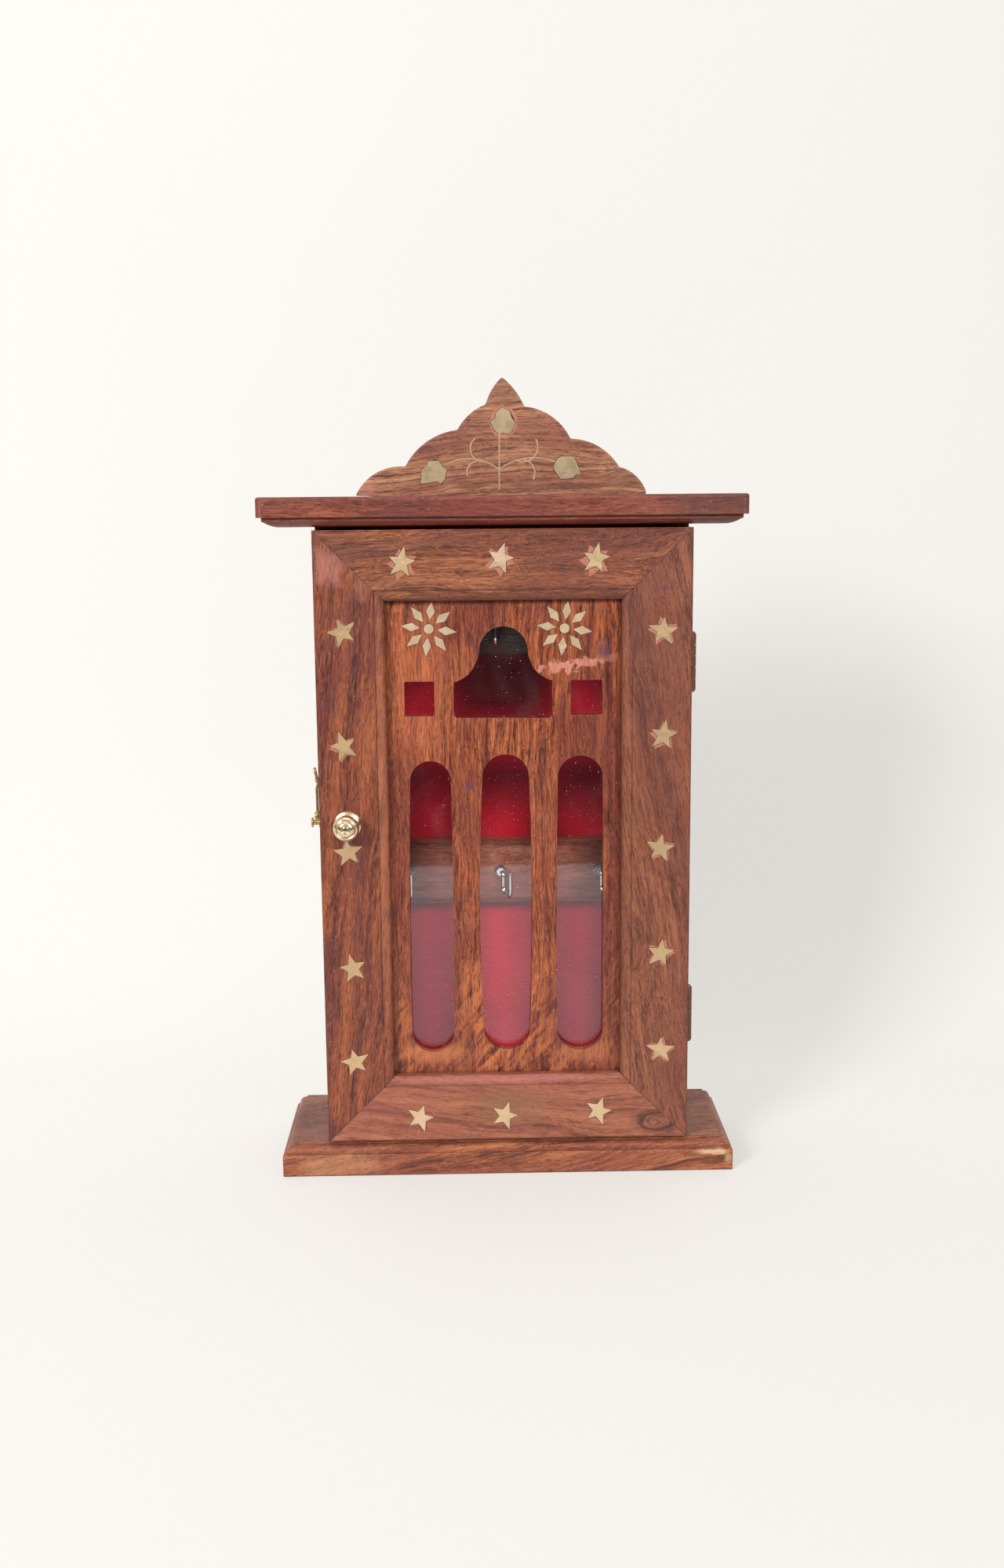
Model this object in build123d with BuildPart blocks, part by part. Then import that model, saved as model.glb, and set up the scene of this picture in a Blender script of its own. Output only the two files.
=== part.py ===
from build123d import *
import os
from math import cos, pi, radians, sin

# Wooden key cabinet with a glazed fretwork door, brass inlay, a carved crest and cup hooks.
# Millimetres. Origin: centre of the base's footprint, on the surface it stands on.
# +X to the right seen from the front, +Y towards the back, +Z up. The door faces -Y.

# ---------------------------------------------------------------- driving dimensions
BASE_W, BASE_D, BASE_H = 203.0, 64.0, 14.3
BASE_FACE_H = 10.2          # height of the plain vertical face under the base moulding
ROOF_W, ROOF_D = 207.0, 67.0
ROOF_Z0, ROOF_Z1 = 288.9, 301.4
ROOF_FACE_Z = 292.9         # lower end of the roof's plain vertical face
CASE_W = 161.6              # outer width of the case and of the door
SIDE_T = 10.0
BACK_T = 4.0
LINING_T = 1.0

DOOR_Z0, DOOR_Z1 = 15.3, 287.5
DOOR_FRONT = -29.6          # y of the door's front face
DOOR_T = 15.0
FRAME_W = 30.0              # width of a door frame member
BEAD_W = 4.6                # moulded bead round the frame's sight edge
REBATE_W = 5.0              # how far panel and glass reach behind the frame
PANEL_SET_BACK = 6.0
PANEL_T = 4.0
GLASS_T = 2.0

CREST_FRONT = -13.5         # y of the crest's front face
CREST_T = 11.0
INLAY_T = 1.0
INLAY_PROUD = 0.05

RAIL_H, RAIL_T = 29.6, 12.0
RAIL_Z = {"lower": 113.6, "upper": 230.6}        # bottom edge of each hook rail
HOOK_X = {"left": -44.3, "middle": -1.5, "right": 44.0}
HOOK_ABOVE_RAIL = 15.6
HOOK_TWIST = {"left": 6.0, "middle": 20.0, "right": 24.0}   # degrees about the vertical
WIRE_R, COLLAR_R = 1.1, 3.1

HINGE_L = 25.0
HINGE_Z = {"lower": 68.5, "upper": 229.0}        # middle of each hinge
HINGE_LEAF_T = 1.0
HINGE_LEAF_W = 10.5
BARREL_R, PIN_R, PIN_CLEARANCE = 1.8, 0.8, 0.05
KNUCKLES = 5
HINGE_GAP = 1.2             # between the door's back and the case's front edge

LATCH_Z = 161.0
LATCH_REACH = 14.8          # pivot to stud
KNOB_X = -68.7

# ---------------------------------------------------------------- worked-out places
DOOR_BACK = DOOR_FRONT + DOOR_T
HINGE_Y = DOOR_BACK + HINGE_GAP / 2
CASE_FRONT = HINGE_Y + HINGE_GAP / 2
CASE_BACK = BASE_D / 2
BACK_FRONT = CASE_BACK - BACK_T
LINING_FRONT = BACK_FRONT - LINING_T
INNER_W = CASE_W - 2 * SIDE_T
HINGE_X = CASE_W / 2 + BARREL_R + 0.1
DOOR_MID_Z = (DOOR_Z0 + DOOR_Z1) / 2
SIGHT_W = CASE_W - 2 * FRAME_W
SIGHT_H = DOOR_Z1 - DOOR_Z0 - 2 * FRAME_W
PANEL_W = SIGHT_W + 2 * REBATE_W
PANEL_H = SIGHT_H + 2 * REBATE_W
PANEL_FRONT = DOOR_FRONT + PANEL_SET_BACK
GLASS_FRONT = PANEL_FRONT + PANEL_T
STRIP_FRONT = GLASS_FRONT + GLASS_T
PIVOT_Y = DOOR_BACK - 8.2 + LATCH_REACH

os.makedirs("parts", exist_ok=True)


def save(part, name):
    part.label = name
    export_step(part, f"parts/{name}.step")


def facing_front(y, z=0.0, x=0.0):
    """Upright plane at depth y: its x runs right, its y runs up, its normal points forward."""
    return Plane(origin=(x, y, z), x_dir=(1, 0, 0), z_dir=(0, -1, 0))


# ---------------------------------------------------------------- fasteners
def wood_screw(head_at, direction, length, head_r=1.9, shank_r=0.9, x_dir=(0, 0, 1)):
    """Countersunk screw whose flat head lies at head_at and whose point is along direction."""
    head_h = head_r - shank_r
    with BuildPart() as screw:
        with BuildSketch(Plane(origin=head_at, x_dir=x_dir, z_dir=direction)):
            Circle(head_r)
        extrude(amount=head_h, taper=45)
        with BuildSketch(Plane(origin=head_at, x_dir=x_dir, z_dir=direction)):
            Circle(shank_r)
        extrude(amount=length)
        with BuildSketch(Plane(origin=head_at, x_dir=x_dir, z_dir=direction)):
            Rectangle(head_r * 2, 0.35)
        extrude(amount=0.35, mode=Mode.SUBTRACT)
    return screw.part


def round_pin(start, direction, length, radius, head_r=0.0, head_h=0.0, x_dir=(0, 0, 1)):
    """Plain pin, nail or dowel, with an optional flat head at its start."""
    with BuildPart() as pin:
        with BuildSketch(Plane(origin=start, x_dir=x_dir, z_dir=direction)):
            Circle(radius)
        extrude(amount=length)
        if head_h > 0:
            with BuildSketch(Plane(origin=start, x_dir=x_dir, z_dir=direction)):
                Circle(head_r)
            extrude(amount=head_h)
    return pin.part


def save_group(solids, name):
    save(Compound(children=list(solids)), name)


hinge_screw_dz = (-7.5, 7.5)
hinge_screw_x = HINGE_X - 6.5
frame_hinge_screws = [
    wood_screw((hinge_screw_x, HINGE_Y + 0.15, z + dz), (0, 1, 0), 9.0)
    for z in HINGE_Z.values() for dz in hinge_screw_dz
]
door_hinge_screws = [
    wood_screw((hinge_screw_x, HINGE_Y - 0.15, z + dz), (0, -1, 0), 9.0)
    for z in HINGE_Z.values() for dz in hinge_screw_dz
]
base_screws = [
    wood_screw((x, y, 0.3), (0, 0, 1), 32.0, head_r=3.6, shank_r=1.8, x_dir=(1, 0, 0))
    for x in (-(CASE_W - SIDE_T) / 2, (CASE_W - SIDE_T) / 2) for y in (-3.0, 13.0)
]
roof_dowels = [
    round_pin((x, y, ROOF_Z0 - 12), (0, 0, 1), 19.0, 2.5, x_dir=(1, 0, 0))
    for x in (-(CASE_W - SIDE_T) / 2, (CASE_W - SIDE_T) / 2) for y in (-3.0, 21.0)
]
crest_dowels = [
    round_pin((x, CREST_FRONT + CREST_T / 2, ROOF_Z1 - 7), (0, 0, 1), 15.0, 2.0, x_dir=(1, 0, 0))
    for x in (-24.0, 24.0)
]
rail_screws = [
    wood_screw((x, CASE_BACK - 0.2, z + RAIL_H / 2), (0, -1, 0), 13.0, head_r=2.6, shank_r=1.3)
    for z in RAIL_Z.values() for x in (-55.0, 55.0)
]
back_nails = [
    round_pin((x, CASE_BACK, z), (0, -1, 0), 14.0, 0.6, head_r=1.3, head_h=0.4)
    for x in (-(CASE_W - SIDE_T) / 2, (CASE_W - SIDE_T) / 2) for z in (30.0, 105.0, 190.0, 272.0)
]
strip_mid_y = (STRIP_FRONT + DOOR_BACK) / 2
strip_pins = [
    round_pin((side * (SIGHT_W / 2 + 0.6), strip_mid_y, z), (side, 0, 0), 11.0, 0.45)
    for side in (-1, 1) for z in (60.0, DOOR_MID_Z, 243.0)
] + [
    round_pin((x, strip_mid_y, DOOR_MID_Z + side * (SIGHT_H / 2 + 0.6)), (0, 0, side), 11.0,
              0.45, x_dir=(1, 0, 0))
    for side in (-1, 1) for x in (-32.0, 32.0)
]

save_group(frame_hinge_screws, "case_hinge_screws")
save_group(door_hinge_screws, "door_hinge_screws")
save_group(base_screws, "base_screws")
save_group(roof_dowels, "roof_dowels")
save_group(crest_dowels, "crest_dowels")
save_group(rail_screws, "rail_screws")
save_group(back_nails, "back_nails")
save_group(strip_pins, "glazing_strip_pins")


# ---------------------------------------------------------------- base and roof boards
def edge_planes(width, front_y, back_y):
    """Section planes of the moulded edges: front, left and right. Each one's x points inwards."""
    return (
        (Plane(origin=(0, front_y, 0), x_dir=(0, 1, 0), z_dir=(1, 0, 0)), width),
        (Plane(origin=(-width / 2, back_y, 0), x_dir=(1, 0, 0), z_dir=(0, -1, 0)), 2 * width),
        (Plane(origin=(width / 2, back_y, 0), x_dir=(-1, 0, 0), z_dir=(0, 1, 0)), 2 * width),
    )


BASE_LEDGE, BASE_STEP_Z, BASE_FLAT_IN, BASE_QUIRK = 1.6, 11.5, 5.0, 0.7

with BuildPart() as base_board:
    with BuildSketch(Plane.XY):
        Rectangle(BASE_W, BASE_D)
    extrude(amount=BASE_H)
    fillet(base_board.edges().filter_by(Axis.Z).group_by(Axis.Y)[0], radius=0.8)
    for plane, length in edge_planes(BASE_W, -BASE_D / 2, BASE_D / 2):
        with BuildSketch(plane):
            with BuildLine():
                RadiusArc((0, BASE_FACE_H - 1.0), (1.0, BASE_FACE_H), 1.0)
                Polyline((1.0, BASE_FACE_H), (BASE_LEDGE, BASE_FACE_H), (BASE_LEDGE, BASE_STEP_Z))
                EllipticalCenterArc((BASE_FLAT_IN, BASE_STEP_Z), BASE_FLAT_IN - BASE_LEDGE,
                                    BASE_H - BASE_QUIRK - BASE_STEP_Z, start_angle=90, arc_size=90)
                Polyline((BASE_FLAT_IN, BASE_H - BASE_QUIRK), (BASE_FLAT_IN, BASE_H + 2),
                         (-3, BASE_H + 2), (-3, BASE_FACE_H - 1.0), (0, BASE_FACE_H - 1.0))
            make_face()
            with BuildLine():
                RadiusArc((0.8, 0), (0, 0.8), 0.8)
                Polyline((0, 0.8), (-3, 0.8), (-3, -2), (0.8, -2), (0.8, 0))
            make_face()
        extrude(amount=length, both=True, mode=Mode.SUBTRACT)
    for screw in base_screws:
        add(screw, mode=Mode.SUBTRACT)
save(base_board.part, "base_board")

ROOF_LEDGE, ROOF_BEAD_Z, ROOF_STEP, ROOF_FLAT_IN, ROOF_ARRIS = 2.3, 291.0, 0.8, 11.5, 1.6
roof_front_y = BASE_D / 2 - ROOF_D

with BuildPart() as roof_board:
    with BuildSketch(Plane.XY.offset(ROOF_Z0)):
        with Locations((0, roof_front_y + ROOF_D / 2)):
            Rectangle(ROOF_W, ROOF_D)
    extrude(amount=ROOF_Z1 - ROOF_Z0)
    fillet(roof_board.edges().filter_by(Axis.Z).group_by(Axis.Y)[0], radius=2.5)
    for plane, length in edge_planes(ROOF_W, roof_front_y, BASE_D / 2):
        with BuildSketch(plane):
            with BuildLine():
                Polyline((-3, ROOF_FACE_Z), (ROOF_LEDGE, ROOF_FACE_Z),
                         (ROOF_LEDGE, ROOF_BEAD_Z + 0.4), (ROOF_LEDGE + 0.4, ROOF_BEAD_Z),
                         (ROOF_LEDGE + ROOF_STEP, ROOF_BEAD_Z))
                ThreePointArc((ROOF_LEDGE + ROOF_STEP, ROOF_BEAD_Z),
                              (ROOF_LEDGE + ROOF_STEP + 2.6, ROOF_Z0 + 0.7),
                              (ROOF_FLAT_IN, ROOF_Z0))
                Polyline((ROOF_FLAT_IN, ROOF_Z0), (ROOF_FLAT_IN, ROOF_Z0 - 2), (-3, ROOF_Z0 - 2),
                         (-3, ROOF_FACE_Z))
            make_face()
            with BuildLine():
                RadiusArc((0, ROOF_Z1 - ROOF_ARRIS), (ROOF_ARRIS, ROOF_Z1), ROOF_ARRIS)
                Polyline((ROOF_ARRIS, ROOF_Z1), (ROOF_ARRIS, ROOF_Z1 + 2), (-3, ROOF_Z1 + 2),
                         (-3, ROOF_Z1 - ROOF_ARRIS), (0, ROOF_Z1 - ROOF_ARRIS))
            make_face()
        extrude(amount=length, both=True, mode=Mode.SUBTRACT)
    for dowel in roof_dowels + crest_dowels:
        add(dowel, mode=Mode.SUBTRACT)
save(roof_board.part, "roof_board")


# ---------------------------------------------------------------- case: sides, back, lining
def hinge_leaf(side, z_mid):
    """One hinge leaf with its knuckles. side is +1 on the case and -1 on the door."""
    step = HINGE_L / KNUCKLES
    own = range(0, KNUCKLES, 2) if side > 0 else range(1, KNUCKLES, 2)
    knuckle_gap = 0.15
    y_mid = side * (0.1 + HINGE_LEAF_T / 2)
    axis_plane = Plane(origin=(HINGE_X, HINGE_Y, z_mid - HINGE_L / 2))
    with BuildPart() as leaf:
        with BuildSketch(axis_plane.offset(knuckle_gap)):
            with Locations((-(HINGE_LEAF_W + BARREL_R + 0.5) / 2, y_mid)):
                Rectangle(HINGE_LEAF_W - BARREL_R - 0.5, HINGE_LEAF_T)
        extrude(amount=HINGE_L - 2 * knuckle_gap)
        for k in own:
            with BuildSketch(axis_plane.offset(k * step + knuckle_gap)):
                Circle(BARREL_R)
                with Locations((-(BARREL_R + 0.8) / 2, y_mid)):
                    Rectangle(BARREL_R + 0.8, HINGE_LEAF_T)
            extrude(amount=step - 2 * knuckle_gap)
        with BuildSketch(axis_plane):
            Circle(PIN_R + PIN_CLEARANCE)
        extrude(amount=HINGE_L, mode=Mode.SUBTRACT)
        for screw in frame_hinge_screws + door_hinge_screws:
            add(screw, mode=Mode.SUBTRACT)
    return leaf.part


def hinge_pin(z_mid):
    with BuildPart() as pin:
        with BuildSketch(Plane(origin=(HINGE_X, HINGE_Y, z_mid - HINGE_L / 2))):
            Circle(PIN_R)
        extrude(amount=HINGE_L)
        for end_z, normal in ((z_mid - HINGE_L / 2, (0, 0, -1)), (z_mid + HINGE_L / 2, (0, 0, 1))):
            with BuildSketch(Plane(origin=(HINGE_X, HINGE_Y, end_z), x_dir=(1, 0, 0),
                                   z_dir=normal)):
                Circle(1.5)
            extrude(amount=0.7, taper=25)
    return pin.part


def hinge_mortises(side):
    """Solids of the shallow seats that both hinge leaves of one side need in the wood."""
    with BuildPart() as seats:
        for z_mid in HINGE_Z.values():
            with BuildSketch(Plane(origin=(0, 0, z_mid - HINGE_L / 2))):
                with Locations((HINGE_X - HINGE_LEAF_W / 2,
                                HINGE_Y + side * (0.1 + HINGE_LEAF_T / 2))):
                    Rectangle(HINGE_LEAF_W, HINGE_LEAF_T)
            extrude(amount=HINGE_L)
    return seats.part


CASE_MORTISES = hinge_mortises(1)
DOOR_MORTISES = hinge_mortises(-1)


for place, z_mid in HINGE_Z.items():
    save(hinge_leaf(1, z_mid), f"hinge_leaf_case_{place}")
    save(hinge_leaf(-1, z_mid), f"hinge_leaf_door_{place}")
    save(hinge_pin(z_mid), f"hinge_pin_{place}")


# Latch: a backing plate and a shouldered rivet on the case, a swinging hook, a stud on the door.
PLATE_T = 1.0
ARM_T = 0.9
SHOULDER_T = 1.3
CASE_LEFT = -CASE_W / 2
ARM_X = CASE_LEFT - PLATE_T - SHOULDER_T - 0.05
STUD_Y = PIVOT_Y - LATCH_REACH
STUD_R = 1.1

latch_pins = [
    round_pin((CASE_LEFT - PLATE_T - 0.3, PIVOT_Y, LATCH_Z + dz), (1, 0, 0), 6.0, 0.5,
              head_r=1.0, head_h=0.3, x_dir=(0, 1, 0))
    for dz in (-5.8, 5.8)
]
save_group(latch_pins, "latch_plate_pins")


def facing_left(x, y, z):
    """Upright plane whose x runs towards the front, whose y runs up, normal to the left."""
    return Plane(origin=(x, y, z), x_dir=(0, -1, 0), z_dir=(-1, 0, 0))


with BuildPart() as latch_rivet:
    with BuildSketch(facing_left(CASE_LEFT - PLATE_T, PIVOT_Y, LATCH_Z)):
        Circle(2.2)
    extrude(amount=SHOULDER_T)
    with BuildSketch(facing_left(CASE_LEFT + 5.0, PIVOT_Y, LATCH_Z)):
        Circle(0.95)
    extrude(amount=5.0 + PLATE_T + SHOULDER_T + ARM_T + 0.1)
    with BuildSketch(facing_left(ARM_X - ARM_T - 0.05, PIVOT_Y, LATCH_Z)):
        Circle(2.1)
    extrude(amount=0.8)
    fillet(latch_rivet.edges().group_by(Axis.X)[0], radius=0.6)
save(latch_rivet.part, "latch_rivet")

with BuildPart() as latch_plate:
    with BuildSketch(facing_left(CASE_LEFT, PIVOT_Y, LATCH_Z)):
        SlotOverall(17.0, 7.0, rotation=90)
    extrude(amount=PLATE_T)
    fillet(latch_plate.edges().group_by(Axis.X)[0], radius=0.3)
    add(latch_rivet.part, mode=Mode.SUBTRACT)
    for pin in latch_pins:
        add(pin, mode=Mode.SUBTRACT)
save(latch_plate.part, "latch_plate")

with BuildPart() as latch_stud:
    with BuildSketch(facing_left(CASE_LEFT + 7.0, STUD_Y, LATCH_Z)):
        Circle(STUD_R)
    extrude(amount=7.0 + PLATE_T + SHOULDER_T + ARM_T + 0.3)
    with BuildSketch(facing_left(CASE_LEFT, STUD_Y, LATCH_Z)):
        Circle(2.1)
    extrude(amount=0.7)
    with BuildSketch(facing_left(ARM_X - ARM_T - 0.15, STUD_Y, LATCH_Z)):
        Circle(2.2)
    extrude(amount=0.7)
    fillet(latch_stud.edges().group_by(Axis.X)[0], radius=0.5)
save(latch_stud.part, "latch_stud")

TAB_LEAN = radians(11)

with BuildPart() as latch_hook:
    with BuildSketch(facing_left(ARM_X, PIVOT_Y, LATCH_Z)):
        Circle(3.2)
        with Locations((0, 7.0)):
            Rectangle(3.6, 13.0)
        with Locations((0, LATCH_REACH)):
            Ellipse(3.9, 3.4)
        Circle(1.0, mode=Mode.SUBTRACT)
        with BuildLine(mode=Mode.PRIVATE) as slot_arc:
            CenterArc((0, 0), LATCH_REACH, 50, 40.5)
        SlotArc(slot_arc.edges()[0], 2 * STUD_R + 0.8, mode=Mode.SUBTRACT)
    extrude(amount=ARM_T)
    with BuildSketch(Plane(origin=(ARM_X, PIVOT_Y, LATCH_Z + LATCH_REACH + 2.2), x_dir=(0, -1, 0),
                           z_dir=(-cos(TAB_LEAN), 0, -sin(TAB_LEAN)))):
        with Locations((-0.6, 1.5)):
            Rectangle(2.8, 3.4)
        with Locations((-0.6, 3.4)):
            Circle(1.7)
    extrude(amount=ARM_T)
save(latch_hook.part, "latch_hook")


def side_board(sign):
    with BuildPart() as board:
        with BuildSketch(Plane.XY.offset(BASE_H)):
            with Locations((sign * (CASE_W - SIDE_T) / 2, (CASE_FRONT + BACK_FRONT) / 2)):
                Rectangle(SIDE_T, BACK_FRONT - CASE_FRONT)
        extrude(amount=ROOF_Z0 - BASE_H)
        for fastener in base_screws + roof_dowels + back_nails:
            add(fastener, mode=Mode.SUBTRACT)
        if sign > 0:
            add(CASE_MORTISES, mode=Mode.SUBTRACT)
            for screw in frame_hinge_screws:
                add(screw, mode=Mode.SUBTRACT)
        else:
            add(latch_rivet.part, mode=Mode.SUBTRACT)
            for pin in latch_pins:
                add(pin, mode=Mode.SUBTRACT)
    return board.part


save(side_board(-1), "side_left")
save(side_board(1), "side_right")

with BuildPart() as back_panel:
    with BuildSketch(Plane.XY.offset(BASE_H)):
        with Locations((0, CASE_BACK - BACK_T / 2)):
            Rectangle(CASE_W, BACK_T)
    extrude(amount=ROOF_Z0 - BASE_H)
    for fastener in back_nails + rail_screws:
        add(fastener, mode=Mode.SUBTRACT)
save(back_panel.part, "back_panel")

with BuildPart() as velvet_lining:
    with BuildSketch(Plane.XY.offset(BASE_H + 0.2)):
        with Locations((0, LINING_FRONT + LINING_T / 2)):
            Rectangle(INNER_W - 0.4, LINING_T)
    extrude(amount=ROOF_Z0 - BASE_H - 0.4)
    for screw in rail_screws:
        add(screw, mode=Mode.SUBTRACT)
save(velvet_lining.part, "velvet_lining")


# ---------------------------------------------------------------- hook rails and cup hooks
def cup_hook(x, z, twist):
    """Cup hook: threaded shank in the rail, domed collar, and an open J bent from wire."""
    rail_front = LINING_FRONT - RAIL_T
    out = radians(twist)
    wire_plane = Plane(origin=(x, rail_front, z), x_dir=(sin(out), -cos(out), 0),
                       z_dir=(-cos(out), -sin(out), 0))
    bend_r, drop, bow_r, rise = 1.8, 6.4, 4.4, 7.2
    reach = 1.6 + bend_r
    with BuildPart() as hook:
        with BuildLine(wire_plane) as wire:
            Line((0, 0), (1.6, 0))
            RadiusArc((1.6, 0), (reach, -bend_r), bend_r)
            Line((reach, -bend_r), (reach, -drop))
            CenterArc((reach + bow_r, -drop), bow_r, 180, 180)
            Line((reach + 2 * bow_r, -drop), (reach + 2 * bow_r, rise - drop))
        with BuildSketch(Plane(origin=wire.line @ 0, z_dir=wire.line % 0)):
            Circle(WIRE_R)
        sweep(path=wire.line)
        with Locations(wire.line @ 1):
            Sphere(WIRE_R)
        with BuildSketch(Plane(origin=(x, rail_front, z), x_dir=(1, 0, 0), z_dir=(0, 1, 0))):
            Circle(WIRE_R)
        extrude(amount=8.0)
        with BuildSketch(facing_front(rail_front, z, x)):
            Circle(COLLAR_R)
        extrude(amount=0.5)
        with BuildSketch(facing_front(rail_front - 0.5, z, x)):
            Circle(COLLAR_R)
        extrude(amount=1.4, taper=42)
    return hook.part


hooks = {}
for row, rail_z in RAIL_Z.items():
    for place, x in HOOK_X.items():
        twist = HOOK_TWIST[place] * (1.0 if row == "lower" else -0.4)
        hooks[row, place] = cup_hook(x, rail_z + HOOK_ABOVE_RAIL, twist)
        save(hooks[row, place], f"hook_{row}_{place}")


def hook_rail(row):
    """Batten with a deep chamfer along its top edge and a small one below."""
    z0 = RAIL_Z[row]
    y_back, y_front = LINING_FRONT, LINING_FRONT - RAIL_T
    with BuildPart() as rail:
        with BuildSketch(Plane.YZ):
            with BuildLine():
                Polyline((y_back, z0), (y_front + 2.4, z0), (y_front, z0 + 3.0),
                         (y_front, z0 + RAIL_H - 6.5))
                ThreePointArc((y_front, z0 + RAIL_H - 6.5), (y_front + 1.0, z0 + RAIL_H - 2.4),
                              (y_front + 4.2, z0 + RAIL_H))
                Polyline((y_front + 4.2, z0 + RAIL_H), (y_back, z0 + RAIL_H), (y_back, z0))
            make_face()
        extrude(amount=INNER_W / 2 - 0.2, both=True)
        for place in HOOK_X:
            add(hooks[row, place], mode=Mode.SUBTRACT)
        for screw in rail_screws:
            add(screw, mode=Mode.SUBTRACT)
    return rail.part


for row in RAIL_Z:
    save(hook_rail(row), f"hook_rail_{row}")


# ---------------------------------------------------------------- crest with brass inlay
crest_face = facing_front(CREST_FRONT, ROOF_Z1)

# Each lobe of the outline: a point on its arc and its end, from the lower left to the lower right.
CREST_START = (-62.8, 0.6)
CREST_CORNER_R = 1.2
CREST_SEAT = ((61.8, 0.0), (-48.0, 0.0))        # where it touches the roof board
CREST_LOBES = (
    ((-56.4, 8.4), (-41.3, 12.6)),
    ((-33.6, 21.8), (-18.8, 27.8)),
    ((-13.4, 34.4), (-6.6, 38.4)),
    ((-4.0, 44.3), (0.4, 49.7)),
    ((5.3, 44.9), (9.9, 37.4)),
    ((20.6, 33.8), (29.6, 23.8)),
    ((41.8, 20.4), (50.5, 11.8)),
    ((57.6, 8.1), (62.3, 0.9)),
)

BUD_TOP = ((-4.5, 30.9), (-2.8, 32.3), (-1.9, 35.1), (0.4, 37.0), (3.5, 35.3), (4.5, 32.5),
           (6.1, 30.8), (4.9, 27.7), (3.3, 25.8), (0.6, 26.6), (-0.8, 25.6), (-3.2, 28.0))
BUD_LEFT = ((-34.8, 5.3), (-34.2, 11.0), (-31.9, 13.1), (-31.4, 14.9), (-27.0, 14.9),
            (-25.6, 12.7), (-23.6, 11.0), (-24.4, 7.2), (-26.2, 5.1), (-27.8, 6.4), (-32.0, 5.6))
BUD_RIGHT = ((22.2, 12.0), (23.6, 14.6), (25.4, 16.3), (30.8, 16.3), (32.2, 13.4), (34.4, 7.9),
             (32.2, 8.8), (30.5, 7.2), (25.4, 6.7), (22.8, 10.4))

# Stem and branches as arcs: start, a point on the way, end.
STEMS = (
    ((-1.1, 2.8), (-1.0, 14.0), (-0.9, 25.9)),
    ((-1.1, 11.0), (-8.4, 14.9), (-23.8, 13.4)),
    ((-7.0, 14.4), (-13.0, 18.0), (-11.3, 24.2)),
    ((-8.0, 14.7), (-13.7, 13.0), (-14.8, 8.6)),
    ((-1.1, 11.0), (7.0, 15.0), (22.6, 14.2)),
    ((6.5, 14.8), (15.0, 18.0), (14.8, 23.5)),
    ((6.5, 14.8), (13.0, 13.0), (13.6, 7.0)),
)
STEM_W = 0.65


def crest_inlay_sketches():
    buds = []
    for outline in (BUD_TOP, BUD_LEFT, BUD_RIGHT):
        with BuildSketch(crest_face) as bud:
            with BuildLine():
                Polyline(*outline, close=True)
            make_face()
            fillet(bud.vertices(), radius=0.7)
        buds.append(bud.sketch)
    arcs = [ThreePointArc(*stem) for stem in STEMS]
    with BuildSketch(crest_face) as stems:
        for arc in arcs:
            SlotArc(arc, STEM_W)
    return buds, stems.sketch


bud_sketches, stem_sketch = crest_inlay_sketches()


def inlay(sketches, cutters=()):
    """Brass cut from 1 mm sheet, set into the wood and standing a hair proud of it."""
    with BuildPart() as brass:
        for sketch in sketches:
            extrude(sketch, amount=-INLAY_T)
            extrude(sketch, amount=INLAY_PROUD)
        for cutter in cutters:
            add(cutter, mode=Mode.SUBTRACT)
    return brass.part


crest_buds = inlay(bud_sketches)
crest_stems = inlay([stem_sketch], cutters=[crest_buds])
save(crest_buds, "crest_buds")
save(crest_stems, "crest_stems")

with BuildPart() as crest:
    with BuildSketch(crest_face) as crest_outline:
        with BuildLine():
            point = CREST_START
            for middle, end in CREST_LOBES:
                ThreePointArc(point, middle, end)
                point = end
            Polyline(point, *CREST_SEAT, CREST_START)
        make_face()
        lobe_ends = [end for _, end in CREST_LOBES[:-1]]
        for place in lobe_ends:
            corner = crest_outline.vertices().sort_by_distance((*place, 0))[0]
            fillet(corner, radius=CREST_CORNER_R)
    extrude(amount=-CREST_T)
    for y in (CREST_FRONT, CREST_FRONT + CREST_T):
        chamfer(crest.edges().sort_by_distance((12.0, y, ROOF_Z1 + 36.0))[0], length=0.6)
    for piece in [crest_buds, crest_stems] + crest_dowels:
        add(piece, mode=Mode.SUBTRACT)
save(crest.part, "crest")

# ---------------------------------------------------------------- door inlays: stars, flowers
door_face = facing_front(DOOR_FRONT)
panel_face = facing_front(PANEL_FRONT)
STAR_R, STAR_INNER_R = 6.4, 2.8

# Each star: x, z and the direction of one of its points in degrees.
STARS = {
    "rail_top": ((-43.0, 273.7, 12), (-1.2, 275.0, 6), (39.4, 274.6, 12)),
    "rail_bottom": ((-39.4, 26.3, 0), (-1.3, 26.7, 0), (40.8, 28.3, -3)),
    "stile_left": ((-68.9, 244.5, 180), (-69.5, 195.3, 178), (-68.7, 148.6, 172),
                   (-67.9, 96.2, 175), (-68.0, 53.0, 173)),
    "stile_right": ((68.3, 243.8, 12), (68.7, 198.8, 12), (67.7, 148.9, 12),
                    (68.1, 101.3, 10), (68.5, 56.6, 15)),
}


def star_sketch(x, z, turn):
    """Five-pointed star cut by hand: its points differ a little in length and direction."""
    corners = []
    for k in range(10):
        uneven = 1 + 0.10 * sin(5 * k + 0.3 * x + 0.2 * z)
        radius = (STAR_R if k % 2 == 0 else STAR_INNER_R) * uneven
        angle = radians(turn + 36 * k + 4 * sin(3 * k + 0.5 * z))
        corners.append((x + radius * cos(angle), z + radius * sin(angle)))
    with BuildSketch(door_face) as star:
        with BuildLine():
            Polyline(*corners, close=True)
        make_face()
    return star.sketch


star_inlays = {}
for member, places in STARS.items():
    star_inlays[member] = inlay([star_sketch(*place) for place in places])
    save(star_inlays[member], f"stars_{member}")

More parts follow.
